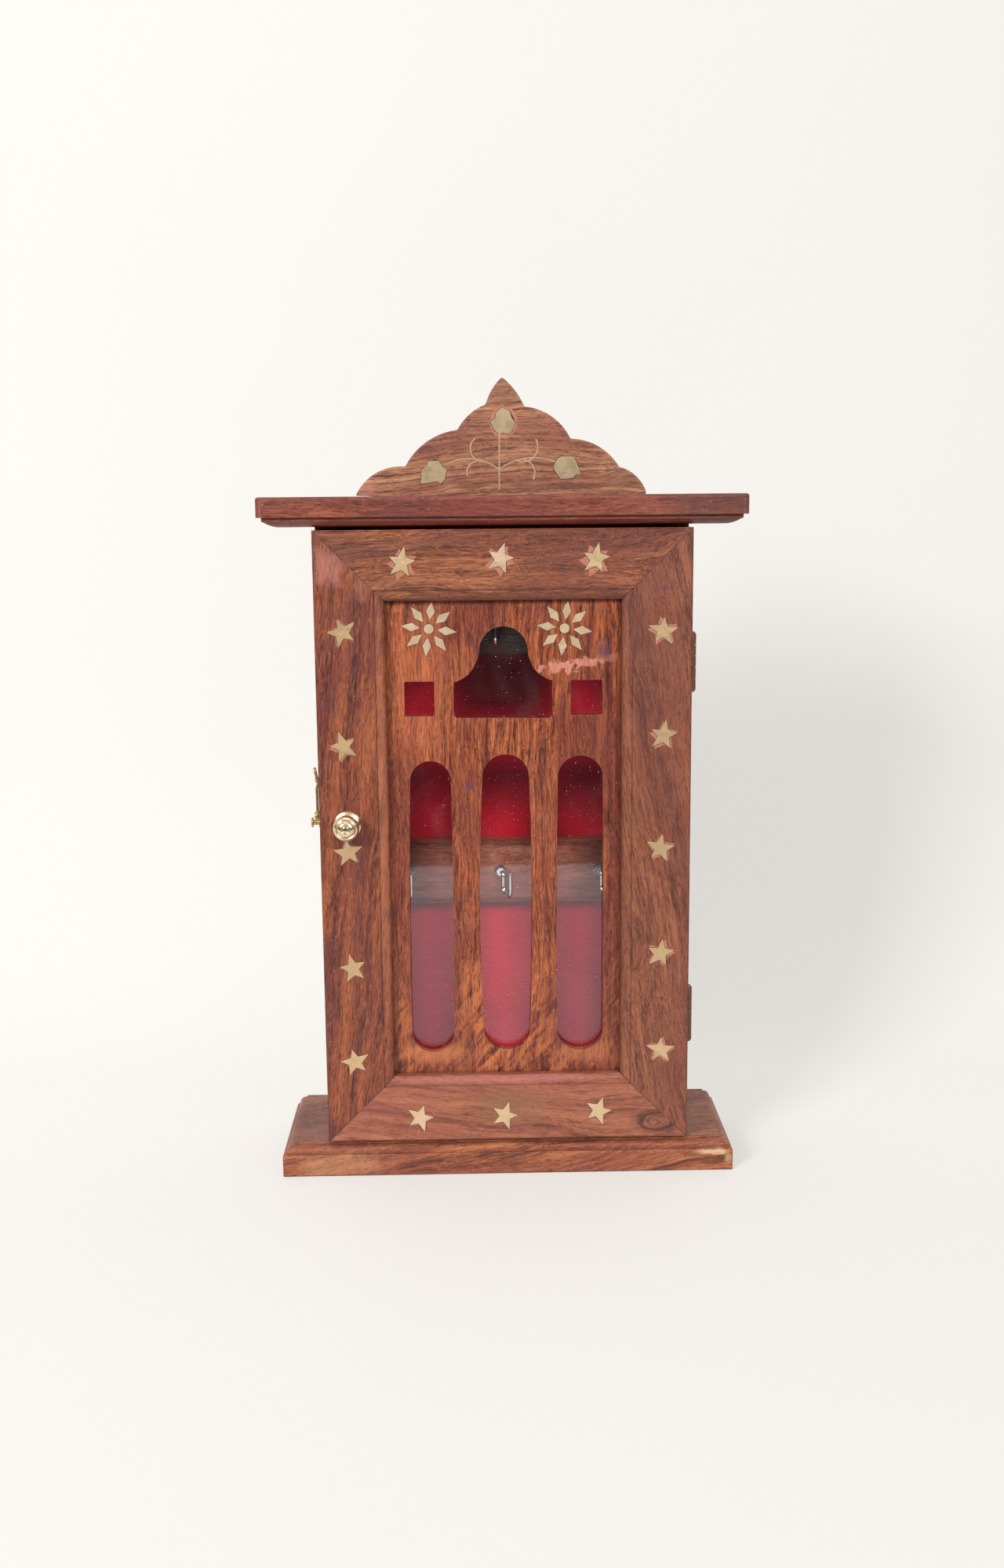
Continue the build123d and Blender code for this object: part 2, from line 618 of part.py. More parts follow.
FLOWERS = {"left": (-32.2, 245.2), "right": (26.3, 244.9)}
PETALS = 8


def flower_sketch(x, z):
    """Eight long diamond petals around a small disc."""
    with BuildSketch(panel_face) as flower:
        with Locations((x, z)):
            Circle(2.1)
        for k in range(PETALS):
            angle = radians(-7 + 360 / PETALS * k)
            across = angle + pi / 2
            tip, heel, waist, half_w = 12.0, 3.7, 7.4, 1.9
            with BuildLine():
                Polyline((x + tip * cos(angle), z + tip * sin(angle)),
                         (x + waist * cos(angle) + half_w * cos(across),
                          z + waist * sin(angle) + half_w * sin(across)),
                         (x + heel * cos(angle), z + heel * sin(angle)),
                         (x + waist * cos(angle) - half_w * cos(across),
                          z + waist * sin(angle) - half_w * sin(across)), close=True)
            make_face()
    return flower.sketch


flower_inlays = {}
for place, (x, z) in FLOWERS.items():
    flower_inlays[place] = inlay([flower_sketch(x, z)])
    save(flower_inlays[place], f"flower_{place}")


# ---------------------------------------------------------------- knob
with BuildPart() as knob_stud:
    with BuildSketch(facing_front(DOOR_FRONT + 10.0, LATCH_Z, KNOB_X)):
        Circle(1.4)
    extrude(amount=15.0)
save(knob_stud.part, "knob_stud")

with BuildPart() as knob:
    with BuildSketch(Plane(origin=(KNOB_X, DOOR_FRONT, LATCH_Z), x_dir=(1, 0, 0),
                           z_dir=(0, 0, 1))) as knob_section:
        with BuildLine():
            Polyline((0, 0), (6.0, 0), (6.0, -0.7))
            ThreePointArc((6.0, -0.7), (4.6, -1.2), (3.0, -2.4))
            Line((3.0, -2.4), (2.6, -4.2))
            ThreePointArc((2.6, -4.2), (5.0, -5.6), (5.7, -7.8))
            ThreePointArc((5.7, -7.8), (5.3, -9.3), (4.3, -10.3))
            Polyline((4.3, -10.3), (3.9, -10.1), (3.5, -10.7))
            ThreePointArc((3.5, -10.7), (2.8, -11.3), (1.8, -11.6))
            Polyline((1.8, -11.6), (1.5, -11.3), (1.2, -11.8), (0, -11.9), (0, 0))
        make_face()
    revolve(axis=Axis((KNOB_X, DOOR_FRONT, LATCH_Z), (0, 1, 0)))
    add(knob_stud.part, mode=Mode.SUBTRACT)
save(knob.part, "knob")


# ---------------------------------------------------------------- door frame
def frame_member(name, edge, along, length):
    """Mitred frame member. edge is the middle of its outer front edge."""
    face = Plane(origin=edge, x_dir=along, z_dir=(0, 1, 0))
    section = Plane(origin=edge, x_dir=face.y_dir, z_dir=along)
    bead_start = FRAME_W - BEAD_W
    with BuildPart() as member:
        with BuildSketch(section):
            with BuildLine():
                RadiusArc((0, 0.8), (0.8, 0), 0.8)
                Polyline((0.8, 0), (bead_start, 0), (bead_start + 0.3, 0.6), (bead_start + 0.6, 0.4))
                ThreePointArc((bead_start + 0.6, 0.4), (bead_start + 2.9, 0.8), (FRAME_W, 2.4))
                Polyline((FRAME_W, 2.4), (FRAME_W, PANEL_SET_BACK),
                         (FRAME_W - REBATE_W, PANEL_SET_BACK), (FRAME_W - REBATE_W, DOOR_T),
                         (0.6, DOOR_T), (0, DOOR_T - 0.6), (0, 0.8))
            make_face()
        extrude(amount=length / 2, both=True)
        with BuildSketch(face):
            with BuildLine():
                Polyline((-length / 2, 0), (length / 2, 0), (length / 2 - FRAME_W, FRAME_W),
                         (FRAME_W - length / 2, FRAME_W), close=True)
            make_face()
        extrude(amount=DOOR_T, mode=Mode.INTERSECT)
        add(star_inlays[name], mode=Mode.SUBTRACT)
        for pin in strip_pins:
            add(pin, mode=Mode.SUBTRACT)
        if name == "stile_right":
            add(DOOR_MORTISES, mode=Mode.SUBTRACT)
            for screw in door_hinge_screws:
                add(screw, mode=Mode.SUBTRACT)
        if name == "stile_left":
            add(knob_stud.part, mode=Mode.SUBTRACT)
            add(latch_stud.part, mode=Mode.SUBTRACT)
    return member.part


door_height = DOOR_Z1 - DOOR_Z0
MEMBERS = {
    "rail_top": ((0, DOOR_FRONT, DOOR_Z1), (1, 0, 0), CASE_W),
    "rail_bottom": ((0, DOOR_FRONT, DOOR_Z0), (-1, 0, 0), CASE_W),
    "stile_left": ((-CASE_W / 2, DOOR_FRONT, DOOR_MID_Z), (0, 0, 1), door_height),
    "stile_right": ((CASE_W / 2, DOOR_FRONT, DOOR_MID_Z), (0, 0, -1), door_height),
}
for name, (edge, along, length) in MEMBERS.items():
    save(frame_member(name, edge, along, length), f"door_{name}")


# ---------------------------------------------------------------- fretwork panel, glass, strips
def long_slot(lefts, rights, z0, z1):
    """Tall opening, fuller at mid height. lefts and rights give x low, midway and high."""
    low, middle, high = z0 + 7.0, (z0 + z1) / 2, z1 - 9.0
    mid_low = (lefts[0] + rights[0]) / 2
    mid_high = (lefts[2] + rights[2]) / 2
    with BuildSketch(panel_face) as slot:
        with BuildLine():
            ThreePointArc((lefts[0], low), (mid_low, z0), (rights[0], low))
            ThreePointArc((rights[0], low), (rights[1], middle), (rights[2], high))
            ThreePointArc((rights[2], high), (mid_high, z1), (lefts[2], high))
            ThreePointArc((lefts[2], high), (lefts[1], middle), (lefts[0], low))
        make_face()
    return slot.sketch


def arched_window():
    """Bell-shaped opening: a dome on flaring shoulders over a plain sill."""
    with BuildSketch(panel_face) as window:
        with BuildLine():
            Line((-20.2, 206.4), (19.0, 206.0))
            ThreePointArc((19.0, 206.0), (20.3, 206.6), (20.9, 208.2))
            Line((20.9, 208.2), (20.9, 222.4))
            ThreePointArc((20.9, 222.4), (15.0, 225.6), (11.4, 231.0))
            ThreePointArc((11.4, 231.0), (10.7, 233.4), (10.3, 236.0))
            ThreePointArc((10.3, 236.0), (-0.4, 246.0), (-10.6, 235.2))
            ThreePointArc((-10.6, 235.2), (-11.2, 232.6), (-12.2, 230.2))
            ThreePointArc((-12.2, 230.2), (-16.4, 224.6), (-21.8, 222.0))
            Line((-21.8, 222.0), (-21.8, 208.4))
            ThreePointArc((-21.8, 208.4), (-21.4, 207.0), (-20.2, 206.4))
        make_face()
    return window.sketch


def square_window(x, z, width, height):
    with BuildSketch(panel_face) as window:
        with Locations((x, z)):
            RectangleRounded(width, height, 0.8)
    return window.sketch


SLOTS = (
    ((-42.4, -42.5, -41.4), (-23.8, -23.2, -23.6), 55.0, 187.7),
    ((-10.0, -11.4, -9.8), (10.4, 11.6, 10.6), 55.7, 190.3),
    ((22.8, 22.6, 23.2), (43.1, 43.3, 42.9), 55.1, 189.5),
)

panel_openings = [long_slot(*slot) for slot in SLOTS]
panel_openings += [arched_window(), square_window(-36.7, 214.9, 13.0, 15.2),
                   square_window(35.8, 214.9, 13.7, 15.2)]

with BuildPart() as fretwork_panel:
    with BuildSketch(panel_face):
        with Locations((0, DOOR_MID_Z)):
            Rectangle(PANEL_W - 0.4, PANEL_H - 0.4)
    extrude(amount=-PANEL_T)
    for opening in panel_openings:
        extrude(opening, amount=-PANEL_T, mode=Mode.SUBTRACT)
    for flower in flower_inlays.values():
        add(flower, mode=Mode.SUBTRACT)
save(fretwork_panel.part, "fretwork_panel")

with BuildPart() as glass_pane:
    with BuildSketch(facing_front(GLASS_FRONT)):
        with Locations((0, DOOR_MID_Z)):
            Rectangle(PANEL_W - 1.0, PANEL_H - 1.0)
    extrude(amount=-GLASS_T)
save(glass_pane.part, "glass_pane")

STRIP_W = REBATE_W - 0.4


def glazing_strip(width, height, x, z):
    """Flat wooden strip pinned into the rebate to hold glass and panel."""
    with BuildPart() as strip:
        with BuildSketch(facing_front(STRIP_FRONT)):
            with Locations((x, z)):
                Rectangle(width, height)
        extrude(amount=-(DOOR_BACK - STRIP_FRONT))
        chamfer(strip.edges().group_by(Axis.Y)[-1], length=0.5)
        for pin in strip_pins:
            add(pin, mode=Mode.SUBTRACT)
    return strip.part


side_strip_x = (PANEL_W - STRIP_W) / 2 - 0.1
end_strip_dz = (PANEL_H - STRIP_W) / 2 - 0.1
end_strip_w = PANEL_W - 2 * STRIP_W - 0.6
save(glazing_strip(STRIP_W, PANEL_H - 0.4, -side_strip_x, DOOR_MID_Z), "glazing_strip_left")
save(glazing_strip(STRIP_W, PANEL_H - 0.4, side_strip_x, DOOR_MID_Z), "glazing_strip_right")
save(glazing_strip(end_strip_w, STRIP_W, 0, DOOR_MID_Z + end_strip_dz), "glazing_strip_top")
save(glazing_strip(end_strip_w, STRIP_W, 0, DOOR_MID_Z - end_strip_dz), "glazing_strip_bottom")
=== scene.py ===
import bpy
import bmesh
import math
import random
from mathutils import Matrix, Vector


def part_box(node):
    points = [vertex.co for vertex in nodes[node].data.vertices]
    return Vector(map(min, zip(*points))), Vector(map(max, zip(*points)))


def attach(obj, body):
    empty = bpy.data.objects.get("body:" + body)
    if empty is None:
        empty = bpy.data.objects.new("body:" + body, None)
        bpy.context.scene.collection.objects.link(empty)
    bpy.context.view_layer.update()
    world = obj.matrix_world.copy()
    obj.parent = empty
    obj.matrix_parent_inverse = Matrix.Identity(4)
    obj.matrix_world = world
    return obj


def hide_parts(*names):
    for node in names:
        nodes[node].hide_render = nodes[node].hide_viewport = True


# Looks of the wooden key cabinet: wood, velvet, brass, glass, stage, lights and camera.
# Metres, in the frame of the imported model: +X right, +Y back, +Z up, door facing -Y.
# Grain and the places of stains are worked out in millimetres.

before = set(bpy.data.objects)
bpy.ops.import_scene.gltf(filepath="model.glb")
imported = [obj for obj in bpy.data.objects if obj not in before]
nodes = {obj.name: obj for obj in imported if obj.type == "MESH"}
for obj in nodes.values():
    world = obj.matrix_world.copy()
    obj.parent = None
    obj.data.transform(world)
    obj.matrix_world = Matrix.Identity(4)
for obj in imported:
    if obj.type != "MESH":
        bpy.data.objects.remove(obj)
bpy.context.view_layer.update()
MM = 0.001


# ---------------------------------------------------------------- shader node helpers
EDGE_SAMPLES = 6                # rays of each bevel and hollow lookup
EDGE_TURN = (0.03, 0.30)        # 1 - cosine of a bend that just counts as an edge, and fully does


class Shader:
    """A material's node tree, with one short method for each kind of node that it uses."""

    def __init__(self, name):
        self.material = bpy.data.materials.new(name)
        self.material.use_nodes = True
        self.tree = self.material.node_tree
        self.tree.nodes.clear()
        self.output = self.tree.nodes.new("ShaderNodeOutputMaterial")

    def feed(self, socket, value):
        """Links a socket to another one, or sets its value."""
        if isinstance(value, bpy.types.NodeSocket):
            self.tree.links.new(value, socket)
        elif value is not None:
            if socket.type == "RGBA" and len(value) == 3:
                value = (*value, 1.0)
            socket.default_value = value

    def node(self, kind, inputs=(), **settings):
        made = self.tree.nodes.new("ShaderNode" + kind)
        for key, value in settings.items():
            setattr(made, key, value)
        for key, value in dict(inputs).items():
            self.feed(made.inputs[key], value)
        return made

    def math(self, operation, a, b=None, clamp=False):
        made = self.node("Math", {0: a, 1: b}, operation=operation, use_clamp=clamp)
        return made.outputs[0]

    def plus(self, a, b, clamp=False):
        return self.math("ADD", a, b, clamp)

    def minus(self, a, b):
        return self.math("SUBTRACT", a, b)

    def times(self, a, b):
        return self.math("MULTIPLY", a, b)

    def larger(self, a, b):
        return self.math("MAXIMUM", a, b)

    def centred(self, value):
        """Moves 0..1 to -0.5..0.5."""
        return self.minus(value, 0.5)

    def vector(self, operation, a, b=None):
        made = self.node("VectorMath", {0: a, 1: b}, operation=operation)
        return made.outputs["Value" if operation in ("LENGTH", "DOT_PRODUCT") else "Vector"]

    def stretch(self, vector, factors):
        return self.vector("MULTIPLY", vector, factors)

    def xyz(self, x, y, z):
        return self.node("CombineXYZ", {0: x, 1: y, 2: z}).outputs[0]

    def split(self, vector):
        return self.node("SeparateXYZ", {0: vector}).outputs

    def noise(self, vector, detail=3.0, roughness=0.5, distortion=0.0, dimensions="3D", scale=1.0):
        made = self.node("TexNoise", noise_dimensions=dimensions)
        self.feed(made.inputs["W" if dimensions == "1D" else "Vector"], vector)
        for key, value in (("Scale", scale), ("Detail", detail), ("Roughness", roughness),
                           ("Distortion", distortion)):
            made.inputs[key].default_value = value
        return made.outputs["Fac"]

    def span(self, value, low, high, to_low=0.0, to_high=1.0):
        """Maps low..high to to_low..to_high, clamped, with soft ends."""
        made = self.node("MapRange", {"Value": value, "From Min": low, "From Max": high,
                                      "To Min": to_low, "To Max": to_high},
                         interpolation_type="SMOOTHSTEP")
        return made.outputs["Result"]

    def mix(self, factor, a, b):
        """Goes from colour a to colour b as factor goes from 0 to 1."""
        made = self.node("Mix", data_type="RGBA")
        self.feed(made.inputs["Factor"], factor)
        self.feed(made.inputs[6], a)
        self.feed(made.inputs[7], b)
        return made.outputs[2]

    def ramp(self, factor, stops):
        made = self.node("ValToRGB", {0: factor})
        ramp = made.color_ramp
        while len(ramp.elements) < len(stops):
            ramp.elements.new(0.5)
        for element, (place, colour) in zip(ramp.elements, stops):
            element.position = place
            element.color = (*colour, 1.0)
        return made.outputs["Color"]

    def bevel(self, radius):
        return self.node("Bevel", {"Radius": radius}, samples=EDGE_SAMPLES).outputs[0]

    def edges(self, radius):
        """1 along sharp outer and inner edges, 0 on open faces."""
        true_normal = self.node("NewGeometry").outputs["True Normal"]
        facing = self.vector("DOT_PRODUCT", self.bevel(radius), true_normal)
        return self.span(self.minus(1.0, facing), *EDGE_TURN)

    def bump(self, height, distance, normal=None):
        made = self.node("Bump", {"Distance": distance, "Height": height, "Normal": normal})
        return made.outputs[0]

    def millimetres(self, seed=0.0, tilt=0.0):
        """Object coordinates in millimetres, turned by tilt degrees about Y, moved by seed."""
        where = self.node("TexCoord").outputs["Object"]
        larger = self.node("Mapping", {"Vector": where, "Scale": (1 / MM, 1 / MM, 1 / MM)})
        turned = self.node("Mapping", {"Vector": larger.outputs[0],
                                       "Rotation": (0, math.radians(tilt), 0),
                                       "Location": (seed * 37.0, seed * 11.0, seed * 53.0)})
        return turned.outputs[0]

    def surface(self, **inputs):
        made = self.node("BsdfPrincipled")
        for key, value in inputs.items():
            self.feed(made.inputs[key.replace("_", " ")], value)
        self.tree.links.new(made.outputs[0], self.output.inputs["Surface"])


def darker(colour, share):
    return tuple(share * value for value in colour)


def paint(material, *names):
    for name in names:
        slots = nodes[name].data.materials
        slots.clear()
        slots.append(material)


# ---------------------------------------------------------------- places on the front, in mm
PATCH_STYLES = {"soft": {}, "square": {"square": True},
                "scuff": {"softness": 0.35, "ragged": 4.5}}


def patch(centre, size, colour, share, style="soft"):
    """A stain, scuff or paler spot: centre (x, z) and half sizes in mm, and how far it covers."""
    return centre, size, colour, share, PATCH_STYLES[style]


def local_patch(s, centre, size, softness=0.6, ragged=1.2, square=False):
    """1 inside a ragged ellipse or box on the front, centre (x, z) and half sizes in mm."""
    where = s.millimetres()
    x, _, z = s.split(where)
    wobble = s.noise(where, detail=5.0, roughness=0.65, scale=0.30)
    dx = s.math("ABSOLUTE", s.math("DIVIDE", s.minus(x, centre[0]), size[0]))
    dz = s.math("ABSOLUTE", s.math("DIVIDE", s.minus(z, centre[1]), size[1]))
    reach = s.larger(dx, dz) if square else s.vector("LENGTH", s.xyz(dx, dz, 0.0))
    reach = s.plus(reach, s.times(s.centred(wobble), ragged))
    return s.span(reach, 1.0 - softness, 1.0 + softness * 0.3, 1.0, 0.0)


def mitre_line(s):
    """1 on the four mitre joints of the door frame, 0 elsewhere."""
    low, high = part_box("door_stile_left")
    half_w = -low.x / MM
    half_h = (high.z - low.z) / 2 / MM
    middle = (high.z + low.z) / 2 / MM
    x, _, z = s.split(s.millimetres())
    in_x = s.minus(half_w, s.math("ABSOLUTE", x))
    in_z = s.minus(half_h, s.math("ABSOLUTE", s.minus(z, middle)))
    gap = s.math("ABSOLUTE", s.minus(in_x, in_z))
    return s.span(gap, 0.15, 0.55, 1.0, 0.0)


# ---------------------------------------------------------------- wood
PITH = (55.0, 30.0)             # from the board to the tree's centre, across and behind, mm
KNOT_SQUASH = 1.9               # a knot's width over its height
RED_TINT = (0.13, 0.022, 0.026)
WORN_WOOD = (0.36, 0.15, 0.09)
WOOD_DUST = (0.55, 0.42, 0.38)
GRAIN = {                       # per mm along and across the grain, detail, roughness
    "streak": (0.030, 0.62, 6.0, 0.72),
    "fleck": (0.10, 1.9, 3.0, 0.62),
    "fibre": (0.20, 4.6, 2.0, 0.60),
    "pore": (0.26, 3.1, 1.0, 0.50),
    "vein": (0.030, 0.26, 5.0, 0.70),
    "zone": (0.014, 0.055, 4.0, 0.50),
}


def grain_noise(s, grain, layer):
    along, across, detail, roughness = GRAIN[layer]
    return s.noise(s.stretch(grain, (along, across, across)), detail=detail,
                   roughness=roughness)


def bent_grain(s, where, along, wavy):
    """(along the grain, across it, depth) in mm, wandering slowly through the board."""
    x, y, z = s.split(where)
    a, b, c = {"X": (x, z, y), "Z": (z, x, y)}[along]
    straight = s.xyz(a, b, c)
    slow = s.stretch(straight, (0.012, 0.035, 0.035))
    sideways = s.centred(s.noise(slow, detail=2.0))
    inward = s.centred(s.noise(s.vector("ADD", slow, (7.3, 1.9, 4.4)), detail=3.0))
    ripple = s.noise(s.stretch(straight, (0.05, 0.12, 0.12)), detail=2.0)
    swing = s.plus(s.times(sideways, 24.0 * wavy), s.times(ripple, 2.0 * wavy))
    return a, s.plus(b, swing), s.plus(c, s.times(inward, 20.0))


def ring_noise(s, radius, ring_mm):
    return s.noise(s.math("DIVIDE", radius, ring_mm), detail=5.0, roughness=0.66,
                   dimensions="1D")


def knot_masks(s, knot):
    """(distance from the knot in mm, 1 near it, its dark rim and spiral)."""
    centre_x, centre_z, radius = knot
    x, _, z = s.split(s.millimetres())
    off_x = s.minus(x, centre_x)
    off_z = s.times(s.minus(z, centre_z), KNOT_SQUASH)
    reach = s.vector("LENGTH", s.xyz(off_x, off_z, 0.0))
    swirl = s.noise(s.xyz(s.times(x, 0.16), s.times(z, 0.22), 1.3), detail=3.0)
    reach = s.plus(reach, s.times(s.centred(swirl), 6.0))
    near = s.span(reach, radius * 1.1, radius * 2.0, 1.0, 0.0)
    turn = s.math("ARCTAN2", off_z, off_x)
    spiral = s.math("SINE", s.plus(s.times(reach, 1.25), turn))
    spiral = s.times(s.span(spiral, 0.35, 0.95), near)
    rim = s.times(s.span(reach, radius * 0.70, radius * 0.95),
                  s.span(reach, radius * 1.05, radius * 1.35, 1.0, 0.0))
    lines = s.larger(s.times(spiral, 0.75), rim)
    return reach, near, s.larger(lines, s.times(near, 0.28))


def curly_figure(s, top, strength):
    """Light and dark waves over the part of a board below the height top (mm)."""
    x, _, z = s.split(s.millimetres())
    slanted = s.plus(s.times(z, 0.10), s.times(x, -0.10))
    wave = s.noise(s.xyz(s.times(x, 0.055), slanted, 3.1), detail=4.0, distortion=2.0)
    below = s.span(z, top + 25.0, top - 20.0)
    return s.times(s.plus(s.times(s.centred(wave), strength), 0.13), below)


def end_grain(s, where, colour, dark, dots):
    """A patch of tan end grain with round dark pores: dots is (centre, half sizes, tan)."""
    centre, size, tan = dots
    inside = local_patch(s, centre, size)
    colour = s.mix(s.times(inside, 0.55), colour, tan)
    cells = s.node("TexVoronoi", {"Vector": s.stretch(where, (0.62, 0.62, 0.9))})
    hole = s.span(cells.outputs["Distance"], 0.16, 0.30, 1.0, 0.0)
    return s.mix(s.times(s.times(hole, inside), 0.6), colour, dark)


def wear_dust_and_hollow_shade(s, where, colour, blotch, dark, worn_colour):
    """Rubbed edges, painted shade and dark wax in hollows, small nicks and specks of dust."""
    worn = s.times(s.edges(0.8 * MM), s.span(blotch, 0.38, 0.66, 0.1, 0.5))
    colour = s.mix(worn, colour, worn_colour)
    # Painted shade: colour goes darker where the ambient-occlusion lookup finds the surface hemmed
    # in (grooves, joints, corners); it stands for dark wax there too.
    open_sky = s.node("AmbientOcclusion", {"Distance": 2.2 * MM}, samples=EDGE_SAMPLES)
    hollow = s.span(open_sky.outputs["AO"], 0.25, 0.75, 0.62, 0.0)
    colour = s.mix(hollow, colour, darker(dark, 0.4))
    scratch = s.noise(s.stretch(where, (0.9, 0.9, 0.16)), detail=5.0, roughness=0.7)
    colour = s.mix(s.times(s.span(scratch, 0.68, 0.74), 0.35), colour, worn_colour)
    specks = s.noise(s.stretch(where, (1.1, 1.1, 1.1)), detail=1.0)
    return s.mix(s.times(s.span(specks, 0.77, 0.80), 0.55), colour, WOOD_DUST)


def wood(name, along, seed, tones, tint=RED_TINT, tint_share=0.5, tilt=0.0, ring_mm=5.0,
         figure=0.55, streaks=1.0, fibres=1.0, wavy=1.0, curl=None, knot=None, dots=None,
         patches=(), mitred=False, gloss=0.42, worn_colour=WORN_WOOD):
    """Oiled sheesham: bands cut from year rings, fibres, dark pores, tinted zones, worn edges.

    along is the grain's axis and tilt its slant in degrees. tones are the grain's dark, middle
    and light colours, and tint a fourth that covers up to tint_share of it in zones. ring_mm is
    the width of a year ring. figure, streaks and fibres are the strengths of the rings, of the
    broad lines and of the fine ones. wavy is how much the grain wanders: 0 is straight. curl is
    (height below which wavy figure shows, its strength). knot is (x, z, radius). dots is a
    patch of end grain. patches are stains, scuffs and some painted shade and highlights on the
    front. mitred draws the joints of the door's frame. gloss is the roughness of the finish.
    """
    dark, mid, light = tones
    s = Shader(name)
    where = s.millimetres(seed, tilt)
    a, b, c = bent_grain(s, where, along, wavy)
    bent = s.xyz(a, b, c)
    from_pith = s.xyz(s.plus(b, PITH[0]), s.plus(c, PITH[1]), 0.0)
    rings = ring_noise(s, s.vector("LENGTH", from_pith), ring_mm)
    if knot:
        knot_reach, near_knot, knot_dark = knot_masks(s, knot)
        knot_rings = ring_noise(s, knot_reach, 0.6 * ring_mm)
        rings = s.plus(s.times(rings, s.minus(1.0, near_knot)), s.times(knot_rings, near_knot))

    fleck, fibre = grain_noise(s, bent, "fleck"), grain_noise(s, bent, "fibre")
    tone = s.plus(s.times(s.centred(rings), 1.5 * figure), 0.5)
    for layer, amount in ((grain_noise(s, bent, "streak"), 1.15 * streaks),
                          (fleck, 0.85 * fibres), (fibre, 0.80 * fibres)):
        tone = s.plus(tone, s.times(s.centred(layer), amount))
    if curl:
        tone = s.plus(tone, curly_figure(s, *curl))
    colour = s.ramp(tone, ((0.20, dark), (0.50, mid), (0.80, light)))

    zones = s.span(grain_noise(s, bent, "zone"), 0.42, 0.62, 0.0, tint_share)
    colour = s.mix(zones, colour, tint)
    beside = s.vector("ADD", bent, (0.0, 90.0, 40.0))
    veins = s.span(grain_noise(s, beside, "vein"), 0.53, 0.70)
    colour = s.mix(s.times(veins, 0.62), colour, darker(dark, 0.55))
    pores = s.span(grain_noise(s, bent, "pore"), 0.62, 0.71)
    colour = s.mix(s.times(pores, 0.55 * fibres), colour, darker(dark, 0.30))

    if dots:
        colour = end_grain(s, where, colour, dark, dots)
    if knot:
        colour = s.mix(s.times(knot_dark, 0.85), colour, darker(dark, 0.6))
    for centre, size, stain, share, style in patches:
        broken = s.span(fleck, 0.25, 0.60, 0.55 * share, share)
        colour = s.mix(s.times(local_patch(s, centre, size, **style), broken), colour, stain)
    if mitred:
        colour = s.mix(s.times(mitre_line(s), 0.6), colour, darker(dark, 0.5))
    blotch = s.noise(s.stretch(where, (0.11, 0.11, 0.11)), detail=4.0)
    colour = wear_dust_and_hollow_shade(s, where, colour, blotch, dark, worn_colour)

    rough = s.plus(gloss, s.times(s.centred(blotch), 0.30))
    rough = s.plus(rough, s.times(pores, 0.25), clamp=True)
    relief = s.minus(s.times(fibre, 0.55), s.times(pores, 0.8))
    relief = s.plus(relief, s.times(fleck, 0.35))
    hand_planed = s.noise(s.stretch(where, (0.06, 0.06, 0.06)), detail=1.0)
    normal = s.bump(hand_planed, 0.5 * MM, s.bevel(0.55 * MM))
    normal = s.bump(relief, 0.12 * MM, normal)
    s.surface(Base_Color=colour, Roughness=rough, Normal=normal, Coat_Weight=0.08,
              Coat_Roughness=0.25, Specular_IOR_Level=0.40)
    return s.material


# ---------------------------------------------------------------- wooden parts
CASE_TONES = ((0.040, 0.008, 0.006), (0.165, 0.036, 0.015), (0.29, 0.085, 0.030))
STRIP_TONES = ((0.045, 0.012, 0.006), (0.190, 0.056, 0.022), (0.30, 0.115, 0.050))
BEAD_HALF = 2.3                 # half the width of the bead round the door's opening, mm
LEFT_BEAD_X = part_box("door_stile_left")[1].x / MM - BEAD_HALF

paint(wood("door_rail_top_wood", "X", 1.0,
           ((0.040, 0.012, 0.008), (0.195, 0.053, 0.020), (0.33, 0.115, 0.044)),
           tint=(0.120, 0.028, 0.020), tint_share=0.55, tilt=5.0, ring_mm=7.0, fibres=1.3,
           mitred=True),
      "door_rail_top")

bottom_rail_dots = ((2.0, 31.0), (19.0, 10.0), (0.21, 0.095, 0.048))
bottom_rail_patches = (
    patch((-8.0, 43.6), (48.0, 1.9), (0.36, 0.11, 0.10), 0.55),         # painted highlight: the upward-facing bead made lighter, as where it catches the light
)
paint(wood("door_rail_bottom_wood", "X", 2.0,
           ((0.070, 0.019, 0.012), (0.26, 0.079, 0.038), (0.35, 0.135, 0.070)),
           tint=(0.26, 0.068, 0.048), tint_share=0.35, tilt=-7.0, ring_mm=7.0, streaks=0.7,
           fibres=0.7, knot=(67.0, 23.0, 7.5), dots=bottom_rail_dots,
           patches=bottom_rail_patches, mitred=True),
      "door_rail_bottom")

left_stile_patches = (
    patch((-74.0, 272.5), (6.5, 8.5), (0.36, 0.13, 0.095), 0.65, "square"),     # filled corner
    patch((-60.0, 263.0), (4.0, 6.5), (0.36, 0.12, 0.07), 0.5),
    patch((LEFT_BEAD_X, 160.0), (2.6, 108.0), (0.36, 0.115, 0.055), 0.55),      # rubbed bead
)
paint(wood("door_stile_left_wood", "Z", 3.0,
           ((0.034, 0.006, 0.007), (0.190, 0.043, 0.016), (0.31, 0.088, 0.028)),
           tint=(0.070, 0.012, 0.018), tint_share=0.75, tilt=-6.0, ring_mm=6.0, figure=0.40,
           streaks=0.85, fibres=1.2, wavy=0.35, patches=left_stile_patches, mitred=True),
      "door_stile_left")

right_stile_patches = (
    patch((69.0, 262.0), (1.6, 1.2), (0.07, 0.03, 0.045), 0.8),                 # dark spot
)
paint(wood("door_stile_right_wood", "Z", 4.0,
           ((0.050, 0.013, 0.008), (0.190, 0.054, 0.025), (0.27, 0.090, 0.040)),
           tint=(0.125, 0.032, 0.022), tint_share=0.45, tilt=9.0, ring_mm=9.0, figure=0.4,
           streaks=0.9, fibres=1.15, wavy=0.5, patches=right_stile_patches, mitred=True),
      "door_stile_right")

